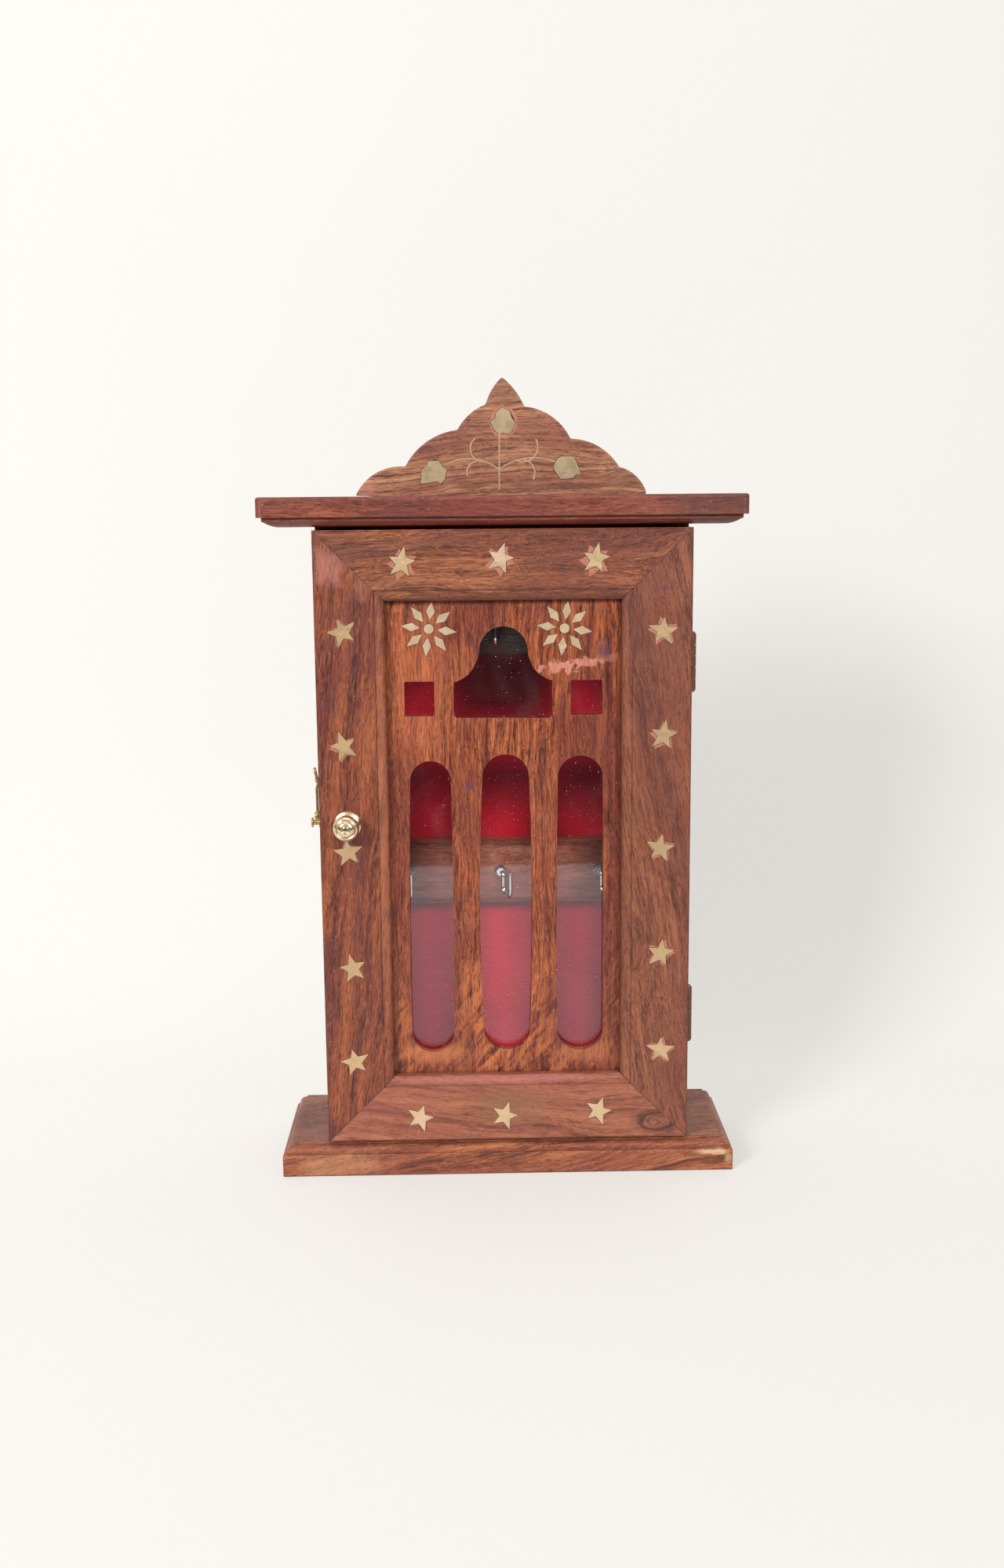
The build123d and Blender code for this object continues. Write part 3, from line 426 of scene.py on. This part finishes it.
panel_patches = (
    patch((-37.0, 220.0), (16.0, 40.0), (0.42, 0.120, 0.050), 0.40),            # pale upper left
    patch((44.0, 195.0), (9.0, 34.0), (0.13, 0.026, 0.018), 0.25),              # painted shadow along the panel's right edge, in the recess by the stile
    patch((25.0, 228.4), (9.0, 2.6), (0.50, 0.20, 0.14), 0.85, "scuff"),        # beside the bell
    patch((35.0, 230.2), (8.0, 2.0), (0.50, 0.20, 0.14), 0.75, "scuff"),
    patch((45.0, 232.0), (6.5, 1.7), (0.40, 0.14, 0.10), 0.4, "scuff"),
    patch((-33.0, 54.5), (17.0, 6.0), (0.52, 0.17, 0.060), 0.55),               # pale foot
    patch((34.0, 54.5), (16.0, 6.0), (0.48, 0.16, 0.060), 0.35),
    patch((18.0, 154.0), (6.0, 30.0), (0.16, 0.035, 0.022), 0.35),              # between slots
    patch((43.5, 235.5), (3.0, 5.0), (0.11, 0.035, 0.05), 0.7),                 # purple stains
    patch((-15.5, 176.5), (2.3, 2.1), (0.09, 0.035, 0.05), 0.9),
)
paint(wood("panel_wood", "Z", 5.0,
           ((0.040, 0.006, 0.004), (0.230, 0.050, 0.017), (0.41, 0.118, 0.036)),
           tint=(0.095, 0.014, 0.012), tint_share=0.55, ring_mm=4.0, streaks=1.2, fibres=1.35,
           wavy=0.6, curl=(88.0, 1.9), patches=panel_patches, gloss=0.36),
      "fretwork_panel")

base_patches = (
    patch((93.0, 8.9), (10.0, 1.5), (0.60, 0.36, 0.21), 0.9),                   # chipped corner
    patch((99.5, 6.2), (2.0, 3.0), (0.50, 0.27, 0.13), 0.7),
    patch((-76.0, 5.0), (24.0, 7.0), (0.42, 0.19, 0.09), 0.55),                 # pale left end
)
paint(wood("base_wood", "X", 6.0,
           ((0.050, 0.011, 0.007), (0.240, 0.064, 0.024), (0.42, 0.145, 0.054)),
           tint=(0.18, 0.034, 0.026), tint_share=0.45, tilt=12.0, ring_mm=8.0,
           patches=base_patches),
      "base_board")

roof_patches = (
    patch((92.0, 297.0), (26.0, 9.0), (0.060, 0.020, 0.014), 0.62),             # dark right end
)
paint(wood("roof_wood", "X", 7.0,
           ((0.050, 0.011, 0.009), (0.172, 0.036, 0.019), (0.26, 0.072, 0.034)),
           tint=(0.15, 0.025, 0.020), tint_share=0.5, ring_mm=7.0, figure=0.35, streaks=0.9,
           fibres=1.2, wavy=0.5, patches=roof_patches),
      "roof_board")

crest_patches = (
    patch((28.0, 305.5), (16.0, 1.6), (0.07, 0.028, 0.018), 0.6),               # dark streaks
    patch((52.0, 308.0), (10.0, 6.0), (0.14, 0.060, 0.032), 0.45),
    patch((-34.0, 321.0), (8.0, 2.2), (0.07, 0.024, 0.020), 0.5),
    patch((0.5, 345.0), (9.0, 10.0), (0.16, 0.065, 0.035), 0.45),               # the point
    patch((-58.0, 305.0), (6.0, 3.0), (0.42, 0.16, 0.11), 0.5),                 # rubbed left end
)
paint(wood("crest_wood", "X", 8.0,
           ((0.075, 0.020, 0.013), (0.275, 0.108, 0.050), (0.40, 0.195, 0.100)),
           tint=(0.17, 0.040, 0.028), tint_share=0.55, tilt=2.0, ring_mm=1.5, figure=0.85,
           fibres=1.2, wavy=0.6, patches=crest_patches, worn_colour=(0.16, 0.05, 0.04)),
      "crest")

paint(wood("case_wood", "Z", 9.0, CASE_TONES, ring_mm=6.0), "side_left", "side_right")
paint(wood("back_wood", "Z", 10.0,
           ((0.055, 0.018, 0.010), (0.19, 0.080, 0.040), (0.28, 0.145, 0.080)),
           tint_share=0.15, ring_mm=9.0, gloss=0.6),
      "back_panel")
paint(wood("rail_wood", "X", 11.0,
           ((0.10, 0.028, 0.016), (0.36, 0.105, 0.050), (0.48, 0.17, 0.09)),
           tint=(0.24, 0.050, 0.040), ring_mm=6.0),
      "hook_rail_lower")
# Painted shade: the upper hook rail takes a darker copy of the rail wood, as the top of the inside
# lies in shade.
paint(wood("rail_wood_painted_shade", "X", 15.0,
           ((0.034, 0.018, 0.014), (0.125, 0.055, 0.036), (0.19, 0.09, 0.058)),
           tint_share=0.2, ring_mm=6.0),
      "hook_rail_upper")
paint(wood("strip_wood", "Z", 12.0, STRIP_TONES), "glazing_strip_left", "glazing_strip_right")
paint(wood("strip_wood_across", "X", 13.0, STRIP_TONES), "glazing_strip_top",
      "glazing_strip_bottom")
paint(wood("dowel_wood", "Z", 14.0,
           ((0.25, 0.14, 0.07), (0.42, 0.27, 0.15), (0.52, 0.36, 0.22)), tint_share=0.0),
      "roof_dowels", "crest_dowels")


# ---------------------------------------------------------------- metals
def inlay_brass(name, base, copper, tarnish, share, rim=(0.30, 0.17, 0.08), scores=0.30):
    """Flat brass sheet, sanded with the wood: base to copper tone, fine strokes, dull patches.

    share is how far the dull patches of colour tarnish cover it, rim the colour of its edges
    (on the buds a painted highlight) and scores the strength of the coarse file marks.
    """
    s = Shader(name)
    where = s.millimetres(3.0, 24.0)
    strokes = s.noise(s.stretch(where, (0.35, 0.35, 7.0)), detail=4.0, roughness=0.7)
    cloud = s.noise(s.stretch(where, (0.22, 0.22, 0.22)), detail=4.0, roughness=0.6)
    dull = s.span(cloud, 0.42, 0.70, 0.0, share)
    region = s.noise(s.stretch(where, (0.028, 0.028, 0.028)), detail=1.0)
    tone = s.mix(s.span(region, 0.40, 0.60), base, copper)
    colour = s.mix(dull, tone, tarnish)
    hatch = s.noise(s.stretch(where, (4.0, 0.5, 4.0)), detail=3.0, roughness=0.7)
    colour = s.mix(s.span(strokes, 0.30, 0.75, 0.0, 0.30), colour, darker(base, 0.6))
    colour = s.mix(s.span(hatch, 0.50, 0.72, 0.0, scores), colour, darker(base, 0.4))
    # Edges take the rim colour; on the buds this light rim is a painted highlight.
    colour = s.mix(s.times(s.edges(0.30 * MM), 0.45), colour, rim)
    rough = s.plus(s.span(strokes, 0.3, 0.7, 0.30, 0.46), s.times(dull, 0.25))
    normal = s.bump(strokes, 0.03 * MM, s.bevel(0.15 * MM))
    s.surface(Base_Color=colour, Metallic=0.85, Roughness=rough, Normal=normal)
    return s.material


paint(inlay_brass("rail_star_brass", (0.78, 0.55, 0.30), (0.86, 0.60, 0.42),
                  (0.52, 0.38, 0.22), 0.5),
      "stars_rail_top", "stars_rail_bottom")
paint(inlay_brass("stile_star_brass", (0.66, 0.46, 0.24), (0.75, 0.50, 0.29),
                  (0.42, 0.29, 0.14), 0.7),
      "stars_stile_left", "stars_stile_right")
paint(inlay_brass("flower_brass", (0.80, 0.59, 0.36), (0.84, 0.61, 0.40),
                  (0.62, 0.45, 0.27), 0.4),
      "flower_left", "flower_right")
# The buds' light rim is a painted highlight along their edges.
paint(inlay_brass("bud_brass", (0.52, 0.40, 0.235), (0.54, 0.40, 0.24), (0.36, 0.28, 0.16), 0.7,
                  rim=(0.85, 0.66, 0.42), scores=0.6),
      "crest_buds")
paint(inlay_brass("stem_brass", (0.62, 0.42, 0.25), (0.66, 0.42, 0.26), (0.46, 0.29, 0.17), 0.3),
      "crest_stems")


def turned_brass(name, turned_node):
    """Polished brass with the fine rings of the lathe round the node's own middle."""
    s = Shader(name)
    low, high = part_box(turned_node)
    middle = (low + high) / 2
    where = s.vector("SUBTRACT", s.node("TexCoord").outputs["Object"], tuple(middle))
    x, _, z = s.split(where)
    radius = s.vector("LENGTH", s.xyz(x, z, 0.0))
    lathe = s.noise(s.times(radius, 2600.0), detail=1.0, dimensions="1D")
    smear = s.noise(where, detail=4.0, scale=260.0)
    colour = s.mix(s.span(smear, 0.4, 0.75, 0.0, 0.45), (0.86, 0.68, 0.44), (0.70, 0.50, 0.30))
    colour = s.mix(s.span(lathe, 0.50, 0.70, 0.0, 0.5), colour, (0.50, 0.31, 0.17))
    rough = s.span(smear, 0.3, 0.7, 0.16, 0.28)
    normal = s.bump(lathe, 0.02 * MM, s.bevel(0.35 * MM))
    s.surface(Base_Color=colour, Metallic=1.0, Roughness=rough, Normal=normal)
    return s.material


def plain_metal(name, base, worn, rough_low, rough_high, metallic=1.0, grit=0.02):
    """Metal with smears, small scratches (grit mm deep) and edges that show another colour."""
    s = Shader(name)
    where = s.millimetres(1.0)
    smear = s.noise(s.stretch(where, (0.5, 0.5, 0.5)), detail=4.0)
    scratch = s.noise(s.stretch(where, (6.0, 6.0, 0.8)), detail=4.0, roughness=0.7)
    colour = s.mix(s.span(smear, 0.45, 0.75, 0.0, 0.4), base, darker(base, 0.6))
    colour = s.mix(s.times(s.edges(0.3 * MM), 0.5), colour, worn)
    uneven = s.plus(s.times(smear, 0.6), s.times(scratch, 0.4))
    rough = s.span(uneven, 0.3, 0.7, rough_low, rough_high)
    normal = s.bump(scratch, grit * MM, s.bevel(0.15 * MM))
    s.surface(Base_Color=colour, Metallic=metallic, Roughness=rough, Normal=normal)
    return s.material


paint(turned_brass("knob_brass", "knob"), "knob")
paint(plain_metal("latch_brass", (0.50, 0.34, 0.15), (0.80, 0.62, 0.36), 0.20, 0.42),
      "latch_hook", "latch_plate", "latch_rivet", "latch_stud", "latch_plate_pins")
hook_names = [f"hook_{row}_{place}" for row in ("lower", "upper")
              for place in ("left", "middle", "right")]
paint(plain_metal("hook_chrome", (0.80, 0.81, 0.82), (0.9, 0.9, 0.9), 0.06, 0.20, grit=0.01),
      *hook_names)
hinge_names = [f"hinge_{part}_{place}" for part in ("leaf_case", "leaf_door", "pin")
               for place in ("lower", "upper")]
paint(plain_metal("hinge_brown", (0.16, 0.062, 0.042), (0.45, 0.28, 0.16), 0.32, 0.6,
                  metallic=0.6, grit=0.05),
      *hinge_names)
paint(plain_metal("screw_steel", (0.50, 0.49, 0.47), (0.75, 0.74, 0.72), 0.25, 0.5),
      "case_hinge_screws", "door_hinge_screws", "base_screws", "rail_screws", "back_nails",
      "glazing_strip_pins", "knob_stud")


# ---------------------------------------------------------------- glass
def pane_glass(name):
    """Thin clear pane: what is behind shows through, with a mirror gloss, smears and dust."""
    s = Shader(name)
    where = s.millimetres(5.0)
    dust = s.noise(s.stretch(where, (1.5, 1.5, 1.5)), detail=1.0, roughness=0.4)
    dust = s.span(dust, 0.755, 0.785)
    lint = s.noise(s.stretch(where, (0.5, 0.5, 2.2)), detail=5.0, roughness=0.8)
    lint = s.times(s.span(lint, 0.74, 0.80), 0.2)
    smear = s.noise(s.stretch(where, (0.05, 0.05, 0.03)), detail=4.0, distortion=1.0)
    film = s.span(smear, 0.45, 0.75, 0.0, 0.008)
    clear = s.node("BsdfTransparent", {"Color": (0.98, 0.985, 0.98)}).outputs[0]
    shine = s.node("BsdfPrincipled", {"Base Color": (0.0, 0.0, 0.0), "Roughness": 0.03,
                                      "IOR": 1.60, "Specular Tint": (0.90, 0.88, 1.0, 1.0)})
    both = s.node("AddShader", {0: clear, 1: shine.outputs[0]}).outputs[0]
    chalk = s.node("BsdfDiffuse", {"Color": (0.75, 0.74, 0.72)}).outputs[0]
    cover = s.plus(s.plus(s.times(dust, 0.8), lint), film, clamp=True)
    mixed = s.node("MixShader", {0: cover, 1: both, 2: chalk}).outputs[0]
    s.feed(s.output.inputs["Surface"], mixed)
    return s.material


paint(pane_glass("window_glass"), "glass_pane")


# ---------------------------------------------------------------- velvet lining
VELVET_PAINTED_SHADE = (                # painted shade on the velvet: centre (x, z) and half sizes in mm, how far it darkens
    ((37.0, 168.0), (18.0, 26.0), 0.55),
    ((2.0, 222.0), (32.0, 28.0), 0.55),
    ((0.0, 166.0), (13.0, 18.0), 0.35),
)


def velvet(name):
    """Dark red ribbed velvet: soft pile, paler at grazing angles, darker in patches of painted
    shade.
    """
    s = Shader(name)
    where = s.millimetres(2.0)
    weave = s.noise(s.stretch(where, (0.8, 1.0, 5.0)), detail=3.0, roughness=0.6)
    fluff = s.noise(s.stretch(where, (6.0, 6.0, 6.0)), detail=2.0)
    pressed = s.noise(s.stretch(where, (0.035, 0.05, 0.02)), detail=3.0)
    tone = s.plus(s.times(weave, 0.6), s.times(pressed, 0.4))
    colour = s.ramp(tone, ((0.30, (0.25, 0.0, 0.008)), (0.52, (0.53, 0.002, 0.018)),
                           (0.72, (0.69, 0.010, 0.034))))
    # Painted shade: dark patches behind the arch and the upper slots, where the inside gets less
    # light.
    for centre, size, share in VELVET_PAINTED_SHADE:
        shade_patch = local_patch(s, centre, size, softness=0.9, ragged=0.5)
        colour = s.mix(s.times(shade_patch, share), colour, (0.16, 0.012, 0.022))
    normal = s.bump(fluff, 0.15 * MM)
    s.surface(Base_Color=colour, Roughness=0.82, Normal=normal, Sheen_Weight=0.35,
              Sheen_Roughness=0.35, Sheen_Tint=(1.0, 0.25, 0.3, 1.0), Specular_IOR_Level=0.25)
    return s.material


def new_piece(name, verts, faces, material, body):
    mesh = bpy.data.meshes.new(name)
    mesh.from_pydata(verts, [], faces)
    mesh.materials.append(material)
    mesh.update()
    piece = bpy.data.objects.new(name, mesh)
    bpy.context.scene.collection.objects.link(piece)
    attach(piece, body)
    return piece


RIB_PITCH, RIB_DEPTH = 0.85 * MM, 0.11 * MM
ROWS_PER_RIB, LINING_COLUMNS = 5, 44
EDGE_ROLL, ROLL_DEPTH = 1.2 * MM, 0.7 * MM      # how wide and how deep the lining's rim rolls back
PILE_PUFF = 0.12 * MM
LINING_SET_BACK = 0.25 * MM


def make_lining():
    """Velvet stretched over the back board: ribs run across it, and its edges roll back."""
    low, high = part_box("velvet_lining")
    width, height = high.x - low.x, high.z - low.z
    rows = int(height / RIB_PITCH * ROWS_PER_RIB)
    rng = random.Random(11)
    lean = [rng.uniform(-1, 1) for _ in range(LINING_COLUMNS + 1)]
    verts = []
    for r in range(rows + 1):
        v = r / rows
        for c in range(LINING_COLUMNS + 1):
            u = c / LINING_COLUMNS
            x = low.x + width * u
            z = low.z + height * v
            wander = 0.25 * math.sin(9.0 * u + 0.8 * lean[c]) + 0.5 * math.sin(3.0 * u + 11.0 * v)
            rib = 0.5 + 0.5 * math.cos(2 * math.pi * z / RIB_PITCH + wander)
            rim = min(x - low.x, high.x - x, z - low.z, high.z - z)
            rounding = max(0.0, 1.0 - rim / EDGE_ROLL)
            puff = PILE_PUFF * math.sin(math.pi * u) * math.sin(5.0 * v + 1.0)
            y = (low.y + LINING_SET_BACK - puff * 0.6 - RIB_DEPTH * rib
                 + ROLL_DEPTH * rounding ** 2)
            verts.append((x, y, z))
    faces = []
    for r in range(rows):
        for c in range(LINING_COLUMNS):
            a = r * (LINING_COLUMNS + 1) + c
            faces.append((a, a + 1, a + LINING_COLUMNS + 2, a + LINING_COLUMNS + 1))
    lining = new_piece("velvet_sheet", verts, faces, velvet("red_velvet"), "case")
    lining.data.shade_smooth()
    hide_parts("velvet_lining")


make_lining()


# ---------------------------------------------------------------- wax and filler round the inlay
SAME_PLACE = 0.001 * MM
WAX_PROUD = 0.03 * MM           # how far wax and filler stand in front of the wood
FILLER_PROUD = 0.02 * MM
FILL_DEPTH = 0.4 * MM
POCKET_MISFIT = {               # 0 is a close fit, 1 a pocket cut too large; lowest star first
    "stars_rail_top": (1.0, 1.1, 0.9),
    "stars_rail_bottom": (0.05, 0.08, 0.05),
    "stars_stile_left": (0.08, 0.12, 0.2, 0.35, 0.2),
    "stars_stile_right": (0.35, 0.45, 0.4, 0.6, 0.6),
}
BLUNT_POINT = 5.9 * MM          # the star's points are cut back to this before a pocket grows


def islands(name):
    """Front outlines of a node's separate solids, lowest first: (centre, points in order)."""
    mesh = bmesh.new()
    mesh.from_mesh(nodes[name].data)
    bmesh.ops.remove_doubles(mesh, verts=mesh.verts, dist=SAME_PLACE)
    mesh.verts.ensure_lookup_table()
    front = min(v.co.y for v in mesh.verts)
    seen, groups = set(), []
    for start in mesh.verts:
        if start in seen:
            continue
        stack, group = [start], []
        seen.add(start)
        while stack:
            vert = stack.pop()
            group.append(vert.co.copy())
            for edge in vert.link_edges:
                other = edge.other_vert(vert)
                if other not in seen:
                    seen.add(other)
                    stack.append(other)
        face = [p for p in group if p.y < front + SAME_PLACE]
        centre = sum(face, Vector()) / len(face)
        face.sort(key=lambda p: math.atan2(p.z - centre.z, p.x - centre.x))
        groups.append((centre, face))
    mesh.free()
    groups.sort(key=lambda g: (round(g[0].z, 4), g[0].x))
    return groups


def prism(verts, faces, ring, front_y, depth):
    """Adds a closed thin prism with the outline ring (x, z) to verts and faces."""
    first, count = len(verts), len(ring)
    verts.extend((x, front_y, z) for x, z in ring)
    verts.extend((x, front_y + depth, z) for x, z in ring)
    faces.append(tuple(first + k for k in range(count)))
    faces.append(tuple(first + count + k for k in reversed(range(count))))
    for k in range(count):
        nxt = (k + 1) % count
        faces.append((first + nxt, first + k, first + count + k, first + count + nxt))


def roughen(ring, rng, parts, jitter):
    """Splits each side of a ring (x, z) into parts and moves the new points up to jitter mm."""
    rough = []
    for (ax, az), (bx, bz) in zip(ring, ring[1:] + ring[:1]):
        rough.append((ax, az))
        for k in range(1, parts):
            share = k / parts
            rough.append((ax + (bx - ax) * share + rng.uniform(-jitter, jitter) * MM,
                          az + (bz - az) * share + rng.uniform(-jitter, jitter) * MM))
    return rough


def putty(name, light, dark):
    """Sanded filler: grainy, with darker specks of wood dust in it."""
    s = Shader(name)
    where = s.millimetres(4.0)
    grain = s.noise(s.stretch(where, (1.6, 1.6, 1.6)), detail=5.0, roughness=0.7)
    colour = s.mix(s.span(grain, 0.3, 0.7), dark, light)
    s.surface(Base_Color=colour, Roughness=0.7, Normal=s.bump(grain, 0.06 * MM))
    return s.material


def wax_lines(name, node_names, wood_front_y, body, material):
    """Thin dark line of wax in the saw cut round each piece of brass."""
    verts, faces = [], []
    rng = random.Random(5)
    for node_name in node_names:
        for centre, outline in islands(node_name):
            ring = []
            for p in outline:
                out = Vector((p.x - centre.x, p.z - centre.z))
                cut = (0.16 + 0.16 * rng.random()) * MM
                reach = out.normalized() * (out.length + cut * 1.3)
                ring.append((centre.x + reach.x, centre.z + reach.y))
            ring = roughen(ring, rng, 3, 0.08)
            prism(verts, faces, ring, wood_front_y - WAX_PROUD, FILL_DEPTH)
    new_piece(name, verts, faces, material, body)


def star_filler(wood_front_y):
    """Reddish filler in ragged star-shaped pockets that were cut larger than their stars."""
    verts, faces = [], []
    rng = random.Random(23)
    for node_name, shares in POCKET_MISFIT.items():
        for share, (centre, outline) in zip(shares, islands(node_name)):
            turn = share * rng.uniform(0.30, 0.42) * rng.choice((-1, 1))
            shift = Vector((rng.uniform(-0.9, 0.5), rng.uniform(-0.9, 0.1))) * MM * share
            ring = []
            for p in outline:
                out = Vector((p.x - centre.x, p.z - centre.z))
                grow = (0.30 + 0.75 * share + rng.uniform(-0.15, 0.15)) * MM
                reach = min(out.length, BLUNT_POINT) + grow
                angle = math.atan2(out.y, out.x) + turn + rng.uniform(-0.05, 0.05)
                ring.append((centre.x + shift.x + reach * math.cos(angle),
                             centre.z + shift.y + reach * math.sin(angle)))
            ring = roughen(ring, rng, 4, 0.10)
            prism(verts, faces, ring, wood_front_y - FILLER_PROUD, FILL_DEPTH)
    material = putty("red_filler", (0.42, 0.165, 0.095), (0.22, 0.060, 0.036))
    new_piece("star_filler", verts, faces, material, "door")


def bud_filler(wood_front_y):
    """A rim of the same filler round the crest's middle bud, wider at its top."""
    centre, _ = islands("crest_buds")[-1]
    rng = random.Random(31)
    corners = 36
    ring = []
    for k in range(corners):
        turn = 2 * math.pi * k / corners
        reach = (6.2 + 1.2 * max(0.0, math.sin(turn + 0.35)) + rng.uniform(-0.15, 0.15)) * MM
        ring.append((centre.x + reach * 0.92 * math.cos(turn), centre.z + reach * math.sin(turn)))
    verts, faces = [], []
    prism(verts, faces, ring, wood_front_y - FILLER_PROUD, FILL_DEPTH)
    material = putty("bud_filler", (0.42, 0.165, 0.10), (0.24, 0.070, 0.042))
    new_piece("bud_filler", verts, faces, material, "case")


door_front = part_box("door_stile_left")[0].y
panel_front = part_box("fretwork_panel")[0].y
crest_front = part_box("crest")[0].y
dark_wax = putty("dark_wax", (0.10, 0.035, 0.02), (0.02, 0.008, 0.006))
wax_lines("star_wax", list(POCKET_MISFIT), door_front, "door", dark_wax)
wax_lines("flower_wax", ["flower_left", "flower_right"], panel_front, "door",
          dark_wax)
wax_lines("bud_wax", ["crest_buds"], crest_front, "case", dark_wax)
bud_filler(crest_front)
star_filler(door_front)


# ---------------------------------------------------------------- stage, light and camera
PAPER_COLOUR, PAPER_GLOW = (0.396, 0.387, 0.370), 1.24
PAPER_FRONT, PAPER_FLAT_TO, PAPER_BEND_R = -0.63, 0.10, 0.15
PAPER_TOP, PAPER_HALF_W = 2.2, 2.4
BEND_STEPS = 16

ROOM_SEEN = (0.939, 0.913, 0.871)       # what the camera sees past the paper
ROOM_MIRRORED = (0.9, 0.92, 0.95)       # what glass and brass mirror, dim low down
ROOM_LIGHT, ROOM_LIGHT_STRENGTH = (0.95, 0.95, 1.0), 0.40

BOX_TARGET, BOX_SIZE = (0, 0, 0.15), (0.62, 0.62)

CAMERA_PLACE = (-0.0141, -0.6993, 0.2948)
CAMERA_YAW, CAMERA_PITCH, CAMERA_ROLL = (math.radians(a) for a in (-1.09, 9.87, -0.51))
LENS_MM, SENSOR_MM = 35.99, 36.0


def stage_material(name):
    """Pale paper that glows a little, seen from its front only."""
    s = Shader(name)
    where = s.millimetres()
    cloud = s.noise(s.stretch(where, (0.004, 0.004, 0.004)), detail=2.0)
    tone = s.mix(s.span(cloud, 0.3, 0.7, 0.0, 0.02), PAPER_COLOUR, (0.8, 0.8, 0.8))
    paper = s.node("BsdfPrincipled", {"Base Color": tone, "Roughness": 0.9,
                                      "Emission Color": PAPER_COLOUR,
                                      "Emission Strength": PAPER_GLOW})
    clear = s.node("BsdfTransparent").outputs[0]
    behind = s.node("NewGeometry").outputs["Backfacing"]
    shown = s.node("MixShader", {0: behind, 1: paper.outputs[0], 2: clear}).outputs[0]
    s.feed(s.output.inputs["Surface"], shown)
    return s.material


def make_stage():
    """Pale paper: a floor that ends in front, sweeping up into a wall behind the cabinet."""
    profile = [(PAPER_FRONT, 0.0), (PAPER_FLAT_TO, 0.0)]
    for k in range(1, BEND_STEPS + 1):
        turn = math.pi / 2 * k / BEND_STEPS
        profile.append((PAPER_FLAT_TO + PAPER_BEND_R * math.sin(turn),
                        PAPER_BEND_R - PAPER_BEND_R * math.cos(turn)))
    profile.append((PAPER_FLAT_TO + PAPER_BEND_R, PAPER_TOP))
    verts = [(x, y, z) for y, z in profile for x in (-PAPER_HALF_W, PAPER_HALF_W)]
    faces = [(2 * k, 2 * k + 1, 2 * k + 3, 2 * k + 2) for k in range(len(profile) - 1)]
    mesh = bpy.data.meshes.new("paper")
    mesh.from_pydata(verts, [], faces)
    mesh.materials.append(stage_material("paper"))
    mesh.shade_smooth()
    paper = bpy.data.objects.new("paper", mesh)
    bpy.context.scene.collection.objects.link(paper)
    return paper


def area_light(name, place, target, size, power, colour=(1, 1, 1), skip=None):
    """Soft box at place, turned to target. It leaves the object skip unlit."""
    data = bpy.data.lights.new(name, "AREA")
    data.shape = "RECTANGLE"
    data.size, data.size_y = size
    data.energy = power
    data.color = colour
    lamp = bpy.data.objects.new(name, data)
    lamp.location = place
    lamp.rotation_mode = "QUATERNION"
    lamp.rotation_quaternion = (Vector(target) - Vector(place)).to_track_quat("-Z", "Y")
    bpy.context.scene.collection.objects.link(lamp)
    if skip:
        unlit = bpy.data.collections.new(name + "_skips")
        unlit.objects.link(skip)
        unlit.collection_objects[0].light_linking.link_state = "EXCLUDE"
        lamp.light_linking.receiver_collection = unlit


def make_world():
    """Even soft room light; mirrors see a darker room than the paper, darkest low down."""
    world = bpy.data.worlds.new("room")
    world.use_nodes = True
    tree = world.node_tree
    tree.nodes.clear()
    link = tree.links.new

    def add(kind, **values):
        made = tree.nodes.new("ShaderNode" + kind)
        for key, value in values.items():
            made.inputs[key.replace("_", " ")].default_value = value
        return made

    seen = add("Background", Color=(*ROOM_SEEN, 1.0))
    mirrored = add("Background", Color=(*ROOM_MIRRORED, 1.0))
    lighting = add("Background", Color=(*ROOM_LIGHT, 1.0), Strength=ROOM_LIGHT_STRENGTH)
    direction = add("TexCoord")
    height = add("SeparateXYZ")
    rise = add("MapRange", From_Min=0.02, From_Max=0.45, To_Min=0.05, To_Max=0.7)
    rise.interpolation_type = "SMOOTHSTEP"
    link(direction.outputs["Generated"], height.inputs[0])
    link(height.outputs["Z"], rise.inputs["Value"])
    link(rise.outputs["Result"], mirrored.inputs["Strength"])

    path = add("LightPath")
    first, second = add("MixShader"), add("MixShader")
    output = add("OutputWorld")
    link(path.outputs["Is Glossy Ray"], first.inputs[0])
    link(lighting.outputs[0], first.inputs[1])
    link(mirrored.outputs[0], first.inputs[2])
    link(path.outputs["Is Camera Ray"], second.inputs[0])
    link(first.outputs[0], second.inputs[1])
    link(seen.outputs[0], second.inputs[2])
    link(second.outputs[0], output.inputs["Surface"])
    bpy.context.scene.world = world


def make_camera():
    """A little left of the middle, at roof height, looking slightly down."""
    right = Vector((math.cos(CAMERA_YAW), math.sin(CAMERA_YAW), 0))
    level = Vector((-math.sin(CAMERA_YAW), math.cos(CAMERA_YAW), 0))
    up = Vector((0, 0, 1))
    ahead = level * math.cos(CAMERA_PITCH) - up * math.sin(CAMERA_PITCH)
    above = up * math.cos(CAMERA_PITCH) + level * math.sin(CAMERA_PITCH)
    rolled_right = right * math.cos(CAMERA_ROLL) + above * math.sin(CAMERA_ROLL)
    rolled_above = above * math.cos(CAMERA_ROLL) - right * math.sin(CAMERA_ROLL)
    data = bpy.data.cameras.new("camera")
    data.lens = LENS_MM
    data.sensor_width = SENSOR_MM
    data.clip_start = 0.01
    camera = bpy.data.objects.new("camera", data)
    camera.matrix_world = Matrix((rolled_right, rolled_above, -ahead)).transposed().to_4x4()
    camera.location = CAMERA_PLACE
    bpy.context.scene.collection.objects.link(camera)
    bpy.context.scene.camera = camera


paper = make_stage()
make_world()
make_camera()
area_light("key", (-1.22, -1.68, 1.05), BOX_TARGET, BOX_SIZE, 40.5, (1.0, 0.98, 0.96))
area_light("fill", (1.22, -1.68, 1.05), BOX_TARGET, BOX_SIZE, 33.5, (0.98, 0.98, 1.0), skip=paper)
area_light("top", (0.0, -0.3, 1.5), (0, 0, 0.1), (1.0, 1.0), 3.0)
bpy.context.scene.view_settings.view_transform = "Standard"
